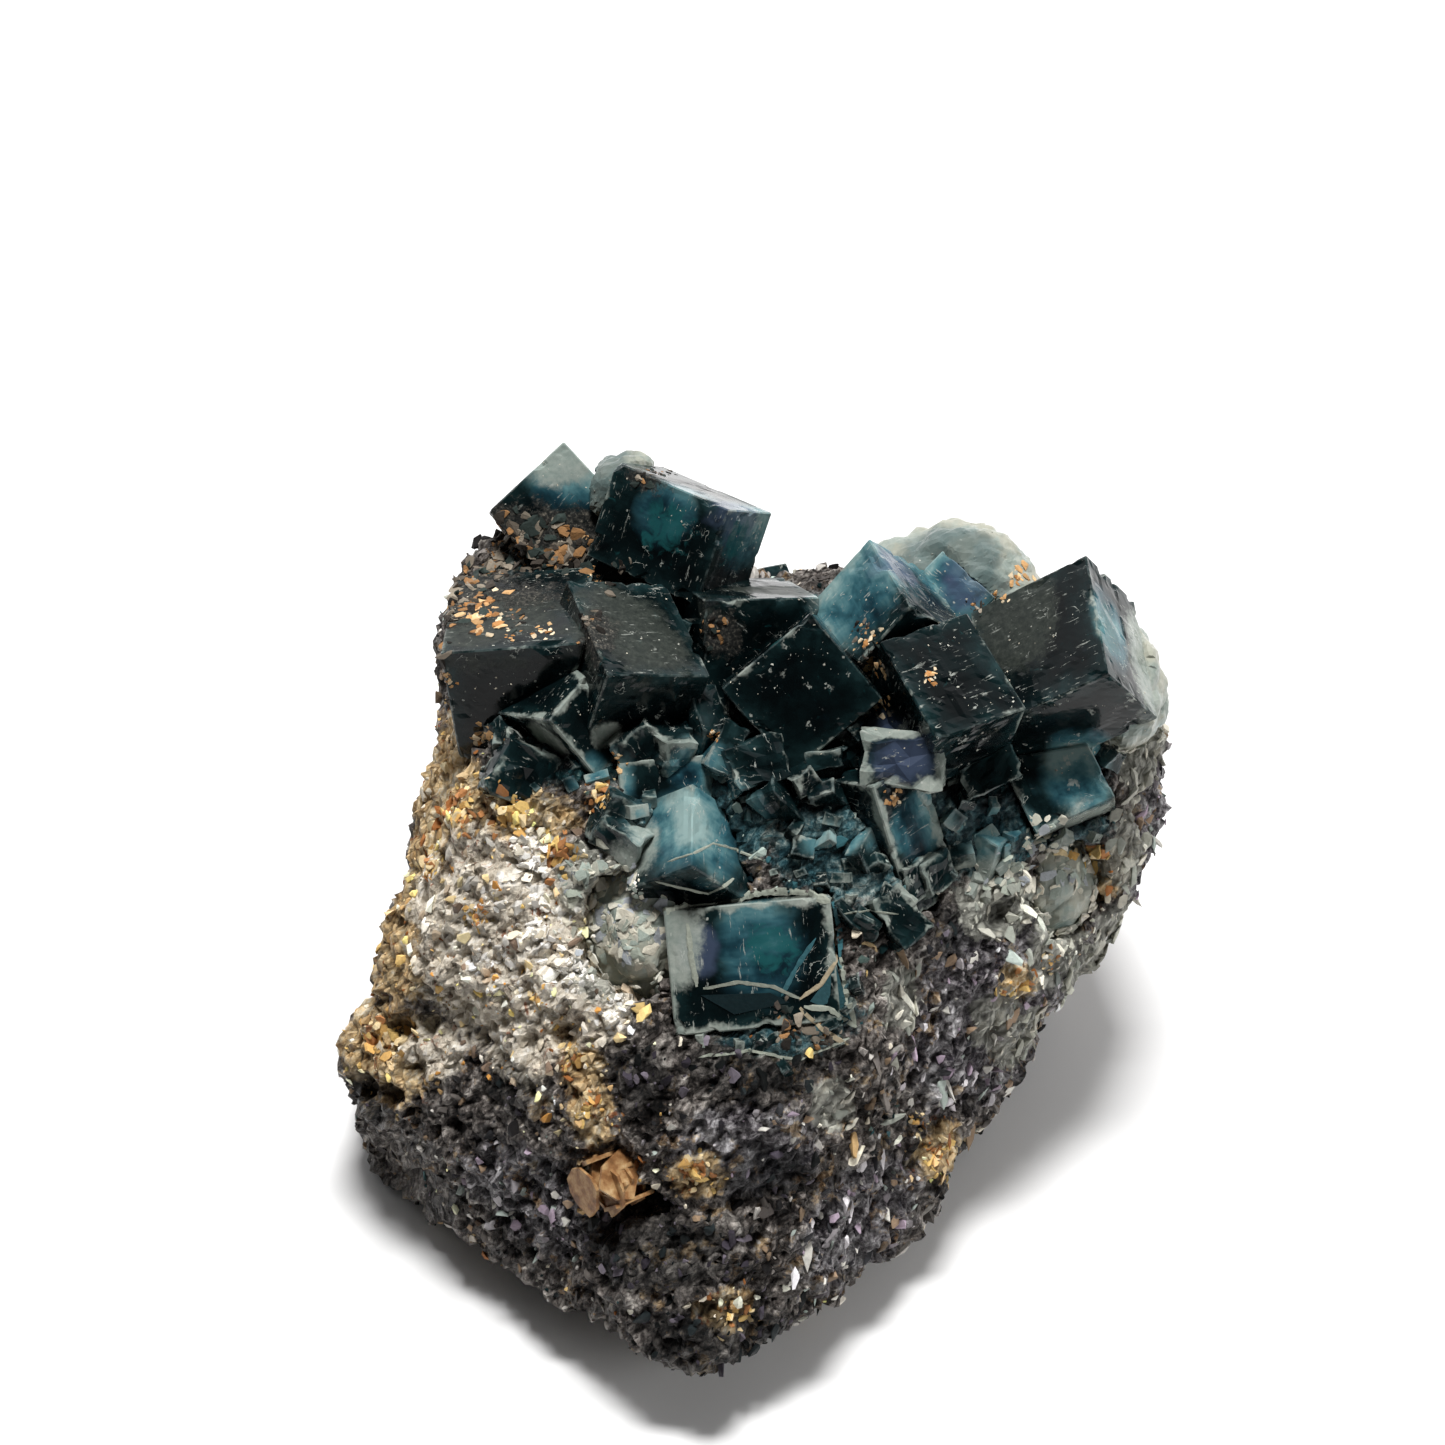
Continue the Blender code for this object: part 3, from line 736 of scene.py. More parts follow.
# small things that grow on the rock and the crystals
druse = {
    "seed": 11, "count": 330, "small": 0.6, "large": 2.9, "gap": 1.30, "tilt": 42, "bend": 0.30,
    "blocks": 3,  # blocks grown parallel to each large cube
    # cubes listed one by one: centre, way the top faces, spin, half sizes, width of the pale rim
    "placed": [((12.3, 2.7, 43.4), (-0.08, -0.63, 0.77), -4, (3.5, 2.4, 2.4), 0.62)],
}
crumb = {
    "seed": 5, "count": 8800, "small": 0.20, "large": 1.05, "sink": 0.0, "kinds": 14,
    "lean": 60, "pull": {"chalk": 0.34, "ochre": 0.18, "pale": 0.18, "white": 0.16},
    "tints": {
        "grain": [(0.012, 0.011, 0.011), (0.055, 0.048, 0.044), (0.140, 0.124, 0.112),
                  (0.280, 0.256, 0.236), (0.520, 0.490, 0.450), (0.200, 0.140, 0.090)],
        "plum": [(0.014, 0.013, 0.015), (0.130, 0.116, 0.124), (0.320, 0.295, 0.305),
                 (0.660, 0.625, 0.640), (0.330, 0.375, 0.340), (0.330, 0.260, 0.320),
                 (0.540, 0.520, 0.470), (0.034, 0.034, 0.037), (0.300, 0.210, 0.140)],
        "ochre": [(0.430, 0.280, 0.130), (0.680, 0.500, 0.280), (0.800, 0.540, 0.200),
                  (0.280, 0.110, 0.035), (0.720, 0.650, 0.520), (0.880, 0.740, 0.460)],
        "chalk": [(0.820, 0.720, 0.560), (0.900, 0.820, 0.690), (0.580, 0.460, 0.330),
                  (0.940, 0.900, 0.820), (0.900, 0.690, 0.360), (0.200, 0.140, 0.100),
                  (0.800, 0.740, 0.640), (0.760, 0.470, 0.150), (0.860, 0.760, 0.580),
                  (0.560, 0.270, 0.070), (0.900, 0.760, 0.440)],
        "white": [(0.820, 0.790, 0.730), (0.660, 0.600, 0.490), (0.660, 0.470, 0.190),
                  (0.420, 0.380, 0.320)],
        "pale": [(0.430, 0.430, 0.365), (0.520, 0.510, 0.440), (0.330, 0.345, 0.300),
                 (0.620, 0.590, 0.500)],
        "dark": [(0.006, 0.007, 0.007), (0.014, 0.018, 0.019), (0.040, 0.034, 0.044),
                 (0.150, 0.130, 0.155)],
        "druse": [(0.004, 0.012, 0.013), (0.010, 0.035, 0.038), (0.060, 0.090, 0.080),
                  (0.003, 0.006, 0.007)],
        "teal": [(0.026, 0.080, 0.092), (0.095, 0.180, 0.185), (0.320, 0.380, 0.340),
                 (0.006, 0.018, 0.024)],
    },
}


def unitCube():
    shape = bmesh.new()
    bmesh.ops.create_cube(shape, size=2.0)
    bmesh.ops.bevel(shape, geom=shape.edges[:] + shape.verts[:], offset=0.07, segments=1,
                    affect="EDGES")
    for axis in range(3):
        way = Vector([float(axis == i) for i in range(3)])
        for place in (-0.6, -0.2, 0.2, 0.6):
            bmesh.ops.bisect_plane(shape, geom=shape.verts[:] + shape.edges[:] + shape.faces[:],
                                   plane_co=way * place, plane_no=way, dist=0.001)
    shape = inOrder(shape)
    shape.verts.index_update()
    points = np.array([v.co for v in shape.verts])
    faces = [[v.index for v in face.verts] for face in shape.faces]
    shape.free()
    return points, faces


def joinShapes(name, shapes):
    # many (points, faces) made one mesh
    start, allPoints, allFaces = 0, [], []
    for points, faces in shapes:
        allPoints.append(points)
        allFaces += [[start + i for i in face] for face in faces]
        start += len(points)
    mesh = bpy.data.meshes.new(name)
    mesh.from_pydata([tuple(p) for p in np.concatenate(allPoints) * mm], [], allFaces)
    return mesh


def insideCrystal(point, margin=0.0):
    for centres, ways in hulls.values():
        if (((point - centres) * ways).sum(axis=1) < -margin).all():
            return True
    return False


def spreadSpots(points, weight, count, gap, random):
    # well spaced picks, likelier where the weight is high
    order = np.argsort(-np.log(random.random(len(points)) + 1e-9) / (weight + 1e-6))
    taken, picks = {}, []
    for index in order[: count * 30]:
        if weight[index] < 0.02:
            continue
        cell = tuple(np.floor(points[index] / gap).astype(int))
        around = [(cell[0] + i, cell[1] + j, cell[2] + k)
                  for i in (-1, 0, 1) for j in (-1, 0, 1) for k in (-1, 0, 1)]
        near = [points[p] for c in around for p in taken.get(c, ())]
        if near and np.linalg.norm(np.array(near) - points[index], axis=1).min() < gap:
            continue
        taken.setdefault(cell, []).append(index)
        picks.append(index)
        if len(picks) == count:
            break
    return picks


def growDruse():
    random = np.random.default_rng(druse["seed"])
    ground, ways = readPoints(hostRock.data), readNormals(hostRock.data)
    wet = np.maximum(blobs(ground, rockZones["druse"]), blobs(ground, rockZones["teal"]))
    weight = smooth(wet, 0.15, 0.5) * smooth(ways[:, 2], -0.2, 0.3)
    weight *= 1 - 0.85 * smooth(ground[:, 1], 18, 30)
    unit, faces = unitCube()
    edge = 1 - np.sort(np.abs(unit), axis=1)[:, 1]
    shapes, rims, locals_, bands = [], [], [], []

    def place(centre, turn, half, band=None):
        centre, half = np.array(centre), np.array(half)
        shift = random.random(3) * 40
        warp = [noise.noise_vector(Vector(p + shift) * 0.75) for p in unit * half]
        points = (unit * half + druse["bend"] * half.min() * np.array(warp)) @ (
            np.array(turn.to_matrix()).T) + centre
        rim = edge * half.min()
        nicks = np.clip(sampleNoise(points, 1.1, (2, 9, 4)) - 0.1, 0, 1) * np.exp(-(rim / 0.4) ** 2)
        points += (centre - points) / np.linalg.norm(centre - points, axis=1)[:, None] * (
            nicks * 0.55 * half.min() ** 0.5)[:, None]
        shapes.append((points, faces))
        rims.append(rim)
        bands.append(np.full(len(points), band or 0.30 * random.random() ** 2))
        locals_.append(unit * half + random.random(3) * 30)

    for centre, facing, spin, half, band in druse["placed"]:
        turn = Vector((0, 0, 1)).rotation_difference(Vector(facing))
        place(centre, Quaternion(facing, radians(spin)) @ turn, half, band)
    for name, (centres, sides) in list(hulls.items()):
        if crystalSlots[name] != "dark_fluorite":
            continue
        middle = centres.mean(axis=0)
        turn = Matrix([sides[0], sides[2] if abs(sides[0] @ sides[1]) > 0.5 else sides[1],
                       np.cross(sides[0], sides[2] if abs(sides[0] @ sides[1]) > 0.5 else sides[1])])
        turn = turn.transposed().to_quaternion()
        reach = np.linalg.norm(centres - middle, axis=1).mean()
        for block in range(druse["blocks"]):
            angle = radians(200 + 140 * (block + random.random()) / druse["blocks"])
            shift = np.array([cos(angle) * 0.95, sin(angle) * 0.95, -0.75]) * reach
            half = reach * (0.32 + 0.22 * random.random(3))
            spot = middle + shift
            if spot[1] > 12 or spot[0] < -22 or spot[0] > 22 or spot[2] > 47:
                continue
            place(spot, turn, half)
    for index in spreadSpots(ground, weight, druse["count"], druse["gap"], random):
        size = druse["small"] + (druse["large"] - druse["small"]) * random.random() ** 2.0
        spot, way = ground[index], Vector(ways[index])
        behind = spot[1] > 16 and spot[2] > 36
        below = spot[1] < -9 or (spot[0] > 20 and spot[1] < 0)
        if below:
            size = min(size, 0.9)
        if behind or spot[0] < -25 or insideCrystal(spot + np.array(way) * size * 0.4, 0.1):
            continue
        corner = Vector((1, 1, 1)).rotation_difference(way) if random.random() < 0.6 else (
            Vector((0, 0, 1)).rotation_difference(way))
        spin = Quaternion(way, random.random() * 6.28)
        lean = Quaternion(Vector(random.normal(size=3)).normalized(), radians(druse["tilt"]) * random.random())
        half = size * (0.35 + 0.85 * random.random(3))
        place(spot - np.array(way) * size * 0.25, lean @ spin @ corner, half)
    mesh = joinShapes("druse", shapes)
    points = readPoints(mesh)
    storeNumber(mesh, "rim", np.concatenate(rims))
    storeNumber(mesh, "zoned", np.concatenate(bands))
    layer = mesh.attributes.new("grown", "FLOAT_VECTOR", "POINT")
    layer.data.foreach_set("vector", np.concatenate(locals_).astype(np.float32).ravel())
    zoneWeights(mesh, points, crystalZones)
    return addPiece("smallDruse", mesh, darkPaint)


def blobs(points, spots):
    return np.max([blob(points, centre, radii) for centre, radii in spots], axis=0)


def crumbKinds(random):
    # a few broken grains: convex, sharp, longer than wide
    kinds = []
    for _ in range(crumb["kinds"]):
        shape = bmesh.new()
        for _ in range(11):
            way = Vector(random.normal(size=3)).normalized() * (0.75 + 0.25 * random.random())
            shape.verts.new((way.x, way.y * 0.72, way.z * 0.50))
        bmesh.ops.convex_hull(shape, input=shape.verts)
        bmesh.ops.delete(shape, geom=[v for v in shape.verts if not v.link_faces], context="VERTS")
        shape.verts.index_update()
        points = np.array([v.co for v in shape.verts])
        kinds.append((points, [[v.index for v in face.verts] for face in shape.faces]))
        shape.free()
    return kinds


def crumbPaint():
    paint = Paint("brokenGrain")
    tint = paint.keptColour("tint")
    grit = paint.noise(2.6, 4.0, 0.7)
    colour = paint.vector("SCALE", tint, 0.65 + grit * 0.8)
    return paint.finish(
        Base_Color=colour,
        Roughness=0.48 + paint.fade(paint.noise(0.9, 2.0), 0.35, 0.6) * 0.35,
        Normal=paint.bump(grit, 0.5, 0.2),
        Specular_IOR_Level=0.28,
    )


def scatterCrumbs():
    random = np.random.default_rng(crumb["seed"])
    ground, ways = readPoints(hostRock.data), readNormals(hostRock.data)
    zones = {name: blobs(ground, spots) for name, spots in rockZones.items()}
    wet = smooth(np.maximum(zones["druse"], zones["teal"] * 0.9), 0.2, 0.6)
    weight = (1 - 0.80 * wet) * smooth(ground[:, 2], 0.6, 2.0)
    kinds = crumbKinds(random)
    streak = Vector(rock["streak"])
    shapes, tints = [], []
    for centre, radius, depth in rockPits:
        weight *= smooth(np.linalg.norm(ground - np.array(centre), axis=1), radius, radius * 1.4)
    for index in spreadSpots(ground, weight, crumb["count"], 0.52, random):
        size = crumb["small"] + (crumb["large"] - crumb["small"]) * random.random() ** 2.7
        spot, way = ground[index], Vector(ways[index])
        if insideCrystal(spot, -0.1):
            continue
        along = streak - way * streak.dot(way) + Vector(random.normal(size=3)) * 0.35
        along = (along - way * along.dot(way)).normalized()
        side = way.cross(along)
        turn = Matrix((along, side, way)).transposed().to_quaternion()
        lean = Quaternion(Vector(random.normal(size=3)).normalized(),
                          radians(crumb["lean"]) * random.random())
        points, faces = kinds[random.integers(len(kinds))]
        longer = 1.0 + 1.6 * max(0.0, way.x) * random.random()
        grown = (points * np.array([size * longer, size, size * (0.6 + 0.8 * random.random())])) @ np.array((lean @ turn).to_matrix()).T
        grown += spot + np.array(way) * size * crumb["sink"]
        grown[:, 2] = np.maximum(grown[:, 2], 0.0)
        shapes.append((grown, faces))
        pull = {name: zones[name][index] + 0.35 * random.random() for name in zones}
        for name, more in crumb["pull"].items():
            pull[name] += more * (zones[name][index] > 0.05)
        pull["grain"] = 0.36 + 0.5 * noise.noise(Vector(spot) * 0.19)
        pull["plum"] *= 0.85
        palette = crumb["tints"][max(pull, key=pull.get)]
        patch = 1 + 0.8 * noise.noise(Vector(spot) * 0.33 + Vector((4, 0, 9)))
        tint = np.array(palette[random.integers(len(palette))]) * (0.7 + 0.6 * random.random())
        tints.append(np.tile(np.clip(tint * patch, 0, 0.9), (len(points), 1)))
    mesh = joinShapes("rockCrumbs", shapes)
    storeColour(mesh, "tint", np.concatenate(tints))
    return addPiece("rockCrumbs", mesh, crumbPaint())


# white crusts on the left flank: place in mm and breadth
crusts = {
    "dusky": [(0.016, 0.014, 0.012), (0.050, 0.042, 0.035), (0.120, 0.100, 0.078),
              (0.240, 0.205, 0.160), (0.300, 0.160, 0.070), (0.030, 0.040, 0.036)],
    "cleaved": [(0.34, 0.37, 0.31), (0.42, 0.42, 0.35), (0.28, 0.32, 0.28), (0.50, 0.48, 0.40),
                (0.33, 0.35, 0.37), (0.58, 0.54, 0.44)],
    "cleavedSpots": [((-10.5, -10, 38), 2.0), ((-11.8, -12, 36.5), 2.4), ((-11, -7, 39), 1.4),
                     ((-13, -9, 36.5), 2.4), ((-14, -6, 38), 2.2),
                     ((22, -3, 34), 1.8), ((27, -2, 33), 1.8), ((25, 1, 35), 1.6)],
    "duskySpots": [((2.8, -16.2, 31.4), 1.5), ((5.6, -16.8, 30.8), 1.2), ((-27, 15, 48), 2.6), ((-26.5, 21, 47), 3.2), ((-24, 25, 46), 3.2),
                   ((-20, 26, 46), 2.4), ((-17.5, 24, 46), 2.0), ((-28, 10, 46), 1.8),
                   ((-14.5, 12.5, 50), 1.2), ((-21.5, 14, 48.5), 1.0), ((-3.5, 13.5, 48), 1.0),
                   ((-13, 20, 48), 1.4), ((9.8, 11, 47), 1.0), ((8.8, 13.5, 48), 0.8),
                   ((19.5, 18, 46), 0.9), ((-9.5, 28.5, 52), 1.2)],
    "seed": 23, "slope": (-0.25, -0.6, 0.75), "collar": 900,
    "spots": [((-20.2, -3.5, 38), 1.9), ((-19.3, -3, 38.6), 1.2), ((-18, -7.1, 36), 1.5),
              ((-18.4, -9, 34.5), 1.5), ((-10.4, -7.3, 39), 0.7), ((-16.5, -11.6, 33), 1.5),
              ((-15.4, -12.3, 33), 1.3), ((-22, -10, 32), 1.1), ((-11.8, -14.4, 32), 1.3),
              ((-12.5, -15.2, 31), 1.0), ((-22.5, -6, 35), 0.9), ((-20, -12, 30), 0.9),
              ((-17.4, -14.4, 30), 0.8), ((-24, -9, 31), 0.8), ((-9.5, -15.4, 31.5), 0.6)],
    "tints": [(0.86, 0.84, 0.79), (0.90, 0.87, 0.82), (0.74, 0.68, 0.56), (0.80, 0.76, 0.68)],
    "warm": [(0.62, 0.42, 0.15), (0.56, 0.33, 0.11), (0.66, 0.52, 0.30), (0.40, 0.18, 0.07)],
    "warmSpots": [((-25.3, 1, 38), 1.5), ((-16.8, -3.6, 39), 1.6), ((-21, -0.6, 40), 1.8),
                  ((-15.5, -17.3, 27.7), 1.3), ((-14.2, -20.7, 25.3), 1.2), ((-18.5, -13.2, 30.6), 1.0),
                  ((-24.2, -6.6, 33.7), 1.1), ((-33, -10, 20), 2.2), ((-4.9, -24.7, 22.2), 1.6),
                  ((22.9, -8.2, 25), 1.2), ((30.2, 3, 29.7), 1.5), ((16.6, -18, 13), 1.3),
                  ((-26, 4, 37), 1.3), ((-28.5, 0, 32), 1.4), ((-13, 1, 41), 1.3), ((-2, -33, 12), 1.2),
                  ((14.5, -16.5, 16), 0.9), ((27, -4, 23), 0.9)],
}

# small grains and tan flakes on the crystals
grit = {
    "seed": 17, "count": 650, "small": 0.05, "large": 0.19, "slope": (0.0, -0.64, 0.77),
    "tints": [(0.42, 0.42, 0.37), (0.30, 0.29, 0.25), (0.55, 0.50, 0.40), (0.16, 0.17, 0.15)],
    # place and breadth of each patch of tan flakes, mm
    "patches": [((-24.4, 17.2, 47), 1.9), ((-23.2, 14.2, 48), 1.4), ((-17.2, 26.9, 46), 0.6),
                ((-15.8, 26.8, 46), 0.5), ((-14.6, 21.8, 46), 0.6), ((-18.7, 12.1, 49), 0.9),
                ((-21, 12.3, 48), 0.6), ((14.4, 7.1, 49), 0.7), ((-3.6, 4.8, 44), 0.7),
                ((24, 24.3, 43), 1.2), ((9.8, 12.5, 48), 1.0), ((10, 9.5, 47), 1.1),
                ((10.8, 7, 45), 0.9), ((-24, 6, 42), 1.3), ((-12, 3.4, 42), 0.8),
                ((-26.5, 9.5, 46), 0.8), ((11.5, 0.5, 41), 0.9), ((22, 20, 45), 0.7)],
    "tan": [(0.50, 0.29, 0.13), (0.60, 0.40, 0.21), (0.36, 0.17, 0.06), (0.62, 0.50, 0.34)],
}
# raised seams of the window crystal: points as mm across and mm down its front, half width, tint
seams = {
    "origin": (0, -10.5, 36.3), "down": (0, -0.76, -0.65), "out": (0, -0.65, 0.76), "rise": 0.09,
    "lines": [([(-4.6, 4.5), (-1.7, 3.9), (1.3, 4.3), (3.4, 5.3)], 0.30, "pale"),
              ([(3.4, 5.3), (5.2, 4.1), (6.7, 1.8)], 0.42, "tan"),
              ([(3.8, 6.0), (5.9, 6.1), (8.2, 7.8)], 0.45, "pale"),
              ([(7.0, 2.0), (7.4, 5.3), (8.2, 7.8)], 0.50, "pale"),
              ([(1.9, 5.1), (3.2, 2.6), (4.8, 0.2)], 0.40, "teal"),
              ([(-8.4, -1.9), (-3.4, -2.5), (0, -3.3), (3.2, -3.4), (6.3, -2.8)], 0.60, "pale"),
              ([(7.0, -1.7), (9.5, -1.9), (11.8, -1.6)], 0.16, "pale"),
              ([(6.4, -2.6), (6.9, -0.2), (7.0, 2.0)], 0.45, "teal"),
              ([(-5.0, 10.1), (-0.5, 9.6), (3.4, 10.4), (7.6, 8.6)], 0.22, "pale"),
              ([(3.4, 6.1), (5.4, 7.9), (7.6, 9.3)], 0.38, "tan"),
              ([(-5.9, -1.0), (-5.6, 2.0), (-5.1, 4.3)], 0.50, "pale"),
              ([(-7.6, -6.2), (-3.8, -7.6), (0.6, -6.0)], 0.24, "pale"),
              ([(-8.6, -4.6), (-4.2, -3.4), (-2.0, -4.6)], 0.30, "pale")],
    "tints": {"pale": (0.28, 0.30, 0.25), "tan": (0.30, 0.25, 0.17), "teal": (0.030, 0.090, 0.105)},
    # thin plates on the same face: corners and tint
    "plates": [([(4.3, 5.5), (6.5, 2.6), (7.7, 7.0)], (0.024, 0.066, 0.076)),
               ([(-4.8, 5.0), (1.0, 4.8), (2.6, 5.6), (-2.0, 6.6)], (0.006, 0.014, 0.016))],
}
shell = {"place": (-12.7, -24.6, 20.0), "turn": (-150, 20, 35), "seed": 8, "plates": 4,
         "reach": 2.5, "wall": 0.16}


def placeLumps(random, kinds, spots, sizes, palette, flat=0.5):
    shapes, tints = [], []
    for (spot, way), size in zip(spots, sizes):
        points, faces = kinds[random.integers(len(kinds))]
        lie = Vector((0, 0, 1)).rotation_difference(way) @ Quaternion((0, 0, 1), random.random() * 6.28)
        grown = (points * np.array([size, size, size * flat])) @ np.array(lie.to_matrix()).T
        shapes.append((grown + np.array(spot), faces))
        tint = np.array(palette[random.integers(len(palette))]) * (0.7 + 0.6 * random.random())
        tints.append(np.tile(tint, (len(points), 1)))
    return shapes, tints


def surfaceTree(pieces):
    shapes = [(readPoints(piece.data), [list(f.vertices) for f in piece.data.polygons])
              for piece in pieces]
    start, points, faces = 0, [], []
    for p, f in shapes:
        points += [Vector(v) for v in p]
        faces += [[start + i for i in face] for face in f]
        start += len(p)
    return BVHTree.FromPolygons(points, faces)


def dropOnto(tree, point, out):
    hit, way, _, _ = tree.ray_cast(Vector(point) + Vector(out) * 9, -Vector(out), 18)
    return (hit, way) if hit is not None else None


def sprinkle(tree):
    random = np.random.default_rng(grit["seed"])
    kinds = crumbKinds(random)
    out = Vector(grit["slope"])
    tanSpots, tanSizes, spots, sizes = [], [], [], []
    for centre, breadth in grit["patches"]:
        for _ in range(int(5 + 9 * breadth)):
            shift = random.normal(size=3) * breadth * 0.5
            found = dropOnto(tree, np.array(centre) + shift, out)
            if found:
                tanSpots.append(found)
                tanSizes.append(breadth * (0.22 + 0.35 * random.random()))
    while len(spots) < grit["count"]:
        start = Vector((random.uniform(-28, 35), random.uniform(-2, 38), 46))
        if noise.noise(start * 0.25) < 0.02:
            continue
        found = dropOnto(tree, start, out if random.random() < 0.75 else (0, 0.2, 0.98))
        if found and found[0].z > 38:
            spots.append(found)
            sizes.append(grit["small"] + (grit["large"] - grit["small"]) * random.random() ** 2.5)
    first = placeLumps(random, kinds, tanSpots, tanSizes, grit["tan"])
    second = placeLumps(random, kinds, spots, sizes, grit["tints"], 0.8)
    mesh = joinShapes("faceGrit", first[0] + second[0])
    storeColour(mesh, "tint", np.concatenate(first[1] + second[1]))
    return addPiece("faceGrit", mesh, rockCrumbs.data.materials[0])


def fillGaps(random, kinds):
    # broken grains where a pale mass meets the rock
    tree = surfaceTree([hostRock])
    low = [piece for piece in cubes if readPoints(piece.data)[:, 2].mean() < 30]
    places, sizes = [], []
    for piece in masses + low:
        points, ways = readPoints(piece.data), readNormals(piece.data)
        for index in random.integers(len(points), size=crusts["collar"]):
            near, _, _, apart = tree.find_nearest(Vector(points[index]))
            if apart < 1.3 and points[index][2] > 3:
                places.append((near.lerp(Vector(points[index]), 0.5), Vector(ways[index])))
                sizes.append(0.25 + 0.75 * random.random() ** 2)
    return placeLumps(random, kinds, places, sizes, crumb["tints"]["pale"] + crusts["tints"][2:], 0.8)


def layCrusts(tree):
    random = np.random.default_rng(crusts["seed"])
    kinds = crumbKinds(random)
    shapes, tints = [], []
    for spots, palette, flat in ((crusts["duskySpots"], crusts["dusky"], 0.7),
                                 (crusts["cleavedSpots"], crusts["cleaved"], 0.35),
                                 (crusts["spots"], crusts["tints"], 0.45),
                                 (crusts["warmSpots"], crusts["warm"], 0.7)):
        places, sizes = [], []
        for centre, breadth in spots:
            for _ in range(int(8 + 14 * breadth ** 1.5)):
                shift = random.normal(size=3) * breadth * 0.55
                found = dropOnto(tree, np.array(centre) + shift, crusts["slope"])
                if found:
                    places.append(found)
                    sizes.append(min(breadth, 1.9) * (0.16 + 0.44 * random.random() ** 1.5))
        made = placeLumps(random, kinds, places, sizes, palette, flat)
        shapes += made[0]
        tints += made[1]
    made = fillGaps(random, kinds)
    mesh = joinShapes("flankCrusts", shapes + made[0])
    tints += made[1]
    storeColour(mesh, "tint", np.concatenate(tints))
    return addPiece("flankCrusts", mesh, rockCrumbs.data.materials[0])


def raiseSeams(tree):
    random = np.random.default_rng(3)
    down, out, origin = (Vector(seams[key]) for key in ("down", "out", "origin"))
    shapes, tints = [], []
    for corners, half, tint in seams["lines"]:
        path = []
        for (x0, d0), (x1, d1) in zip(corners, corners[1:]):
            count = max(2, int(((x1 - x0) ** 2 + (d1 - d0) ** 2) ** 0.5 / 0.35))
            path += [(x0 + (x1 - x0) * i / count, d0 + (d1 - d0) * i / count) for i in range(count)]
        path.append(corners[-1])
        ring = []
        for x, d in path:
            point = origin + Vector((1, 0, 0)) * x + down * d
            found = dropOnto(tree, point, out)
            ring.append(found[0] if found else point)
        points, faces, lean = [], [], random.random() * 1.2 - 0.6
        for i, spot in enumerate(ring):
            along = (ring[min(i + 1, len(ring) - 1)] - ring[max(i - 1, 0)]).normalized()
            side = along.cross(out).normalized()
            taper = min(1.0, 0.15 + min(i, len(ring) - 1 - i) * 0.5)
            wide = half * 0.62 * taper * (0.7 + 0.6 * random.random())
            high = seams["rise"] * taper * (0.8 + 0.4 * random.random())
            skew = lean * half
            for across, up in ((-wide, -0.5), (-wide * 0.7, high * 0.7), (skew, high),
                               (wide * 0.75, high * 0.6), (wide, -0.5)):
                points.append(spot + side * across + out * up)
        for i in range(len(ring) - 1):
            for j in range(4):
                a = i * 5 + j
                faces.append([a, a + 5, a + 6, a + 1])
        last = (len(ring) - 1) * 5
        faces += [[0, 1, 2, 3, 4], [last + 4, last + 3, last + 2, last + 1, last]]
        faces += [[i * 5, i * 5 + 4, i * 5 + 9, i * 5 + 5] for i in range(len(ring) - 1)]
        shapes.append((np.array(points), faces))
        shade = np.array(seams["tints"][tint]) * (0.8 + 0.4 * random.random())
        tints.append(shade * (0.9 + 0.2 * random.random((len(points), 1))))
    for corners, tint in seams["plates"]:
        count, points = len(corners), []
        for level in (0.07, -0.9):
            points += [origin + Vector((1, 0, 0)) * x + down * d + out * level for x, d in corners]
        faces = [list(range(count)), list(range(2 * count - 1, count - 1, -1))]
        faces += [[i, i + count, (i + 1) % count + count, (i + 1) % count] for i in range(count)]
        shapes.append((np.array(points), faces))
        tints.append(np.tile(tint, (2 * count, 1)))
    mesh = joinShapes("windowSeams", shapes)
    storeColour(mesh, "tint", np.concatenate(tints))
    return addPiece("windowSeams", mesh, rockCrumbs.data.materials[0])


def shellPaint():
    paint = Paint("tanShell")
    cloud = paint.noise(0.8, 4.0, 0.6)
    colour = paint.ramp(cloud, [(0.25, (0.070, 0.028, 0.011)), (0.45, (0.240, 0.115, 0.045)),
                                (0.62, (0.420, 0.260, 0.120)), (0.80, (0.600, 0.460, 0.280))])
    fine = paint.noise(4.0, 3.0, 0.6)
    return paint.finish(Base_Color=colour, Roughness=0.45 + fine * 0.3,
                        Normal=paint.bump(fine, 0.4, 0.15))


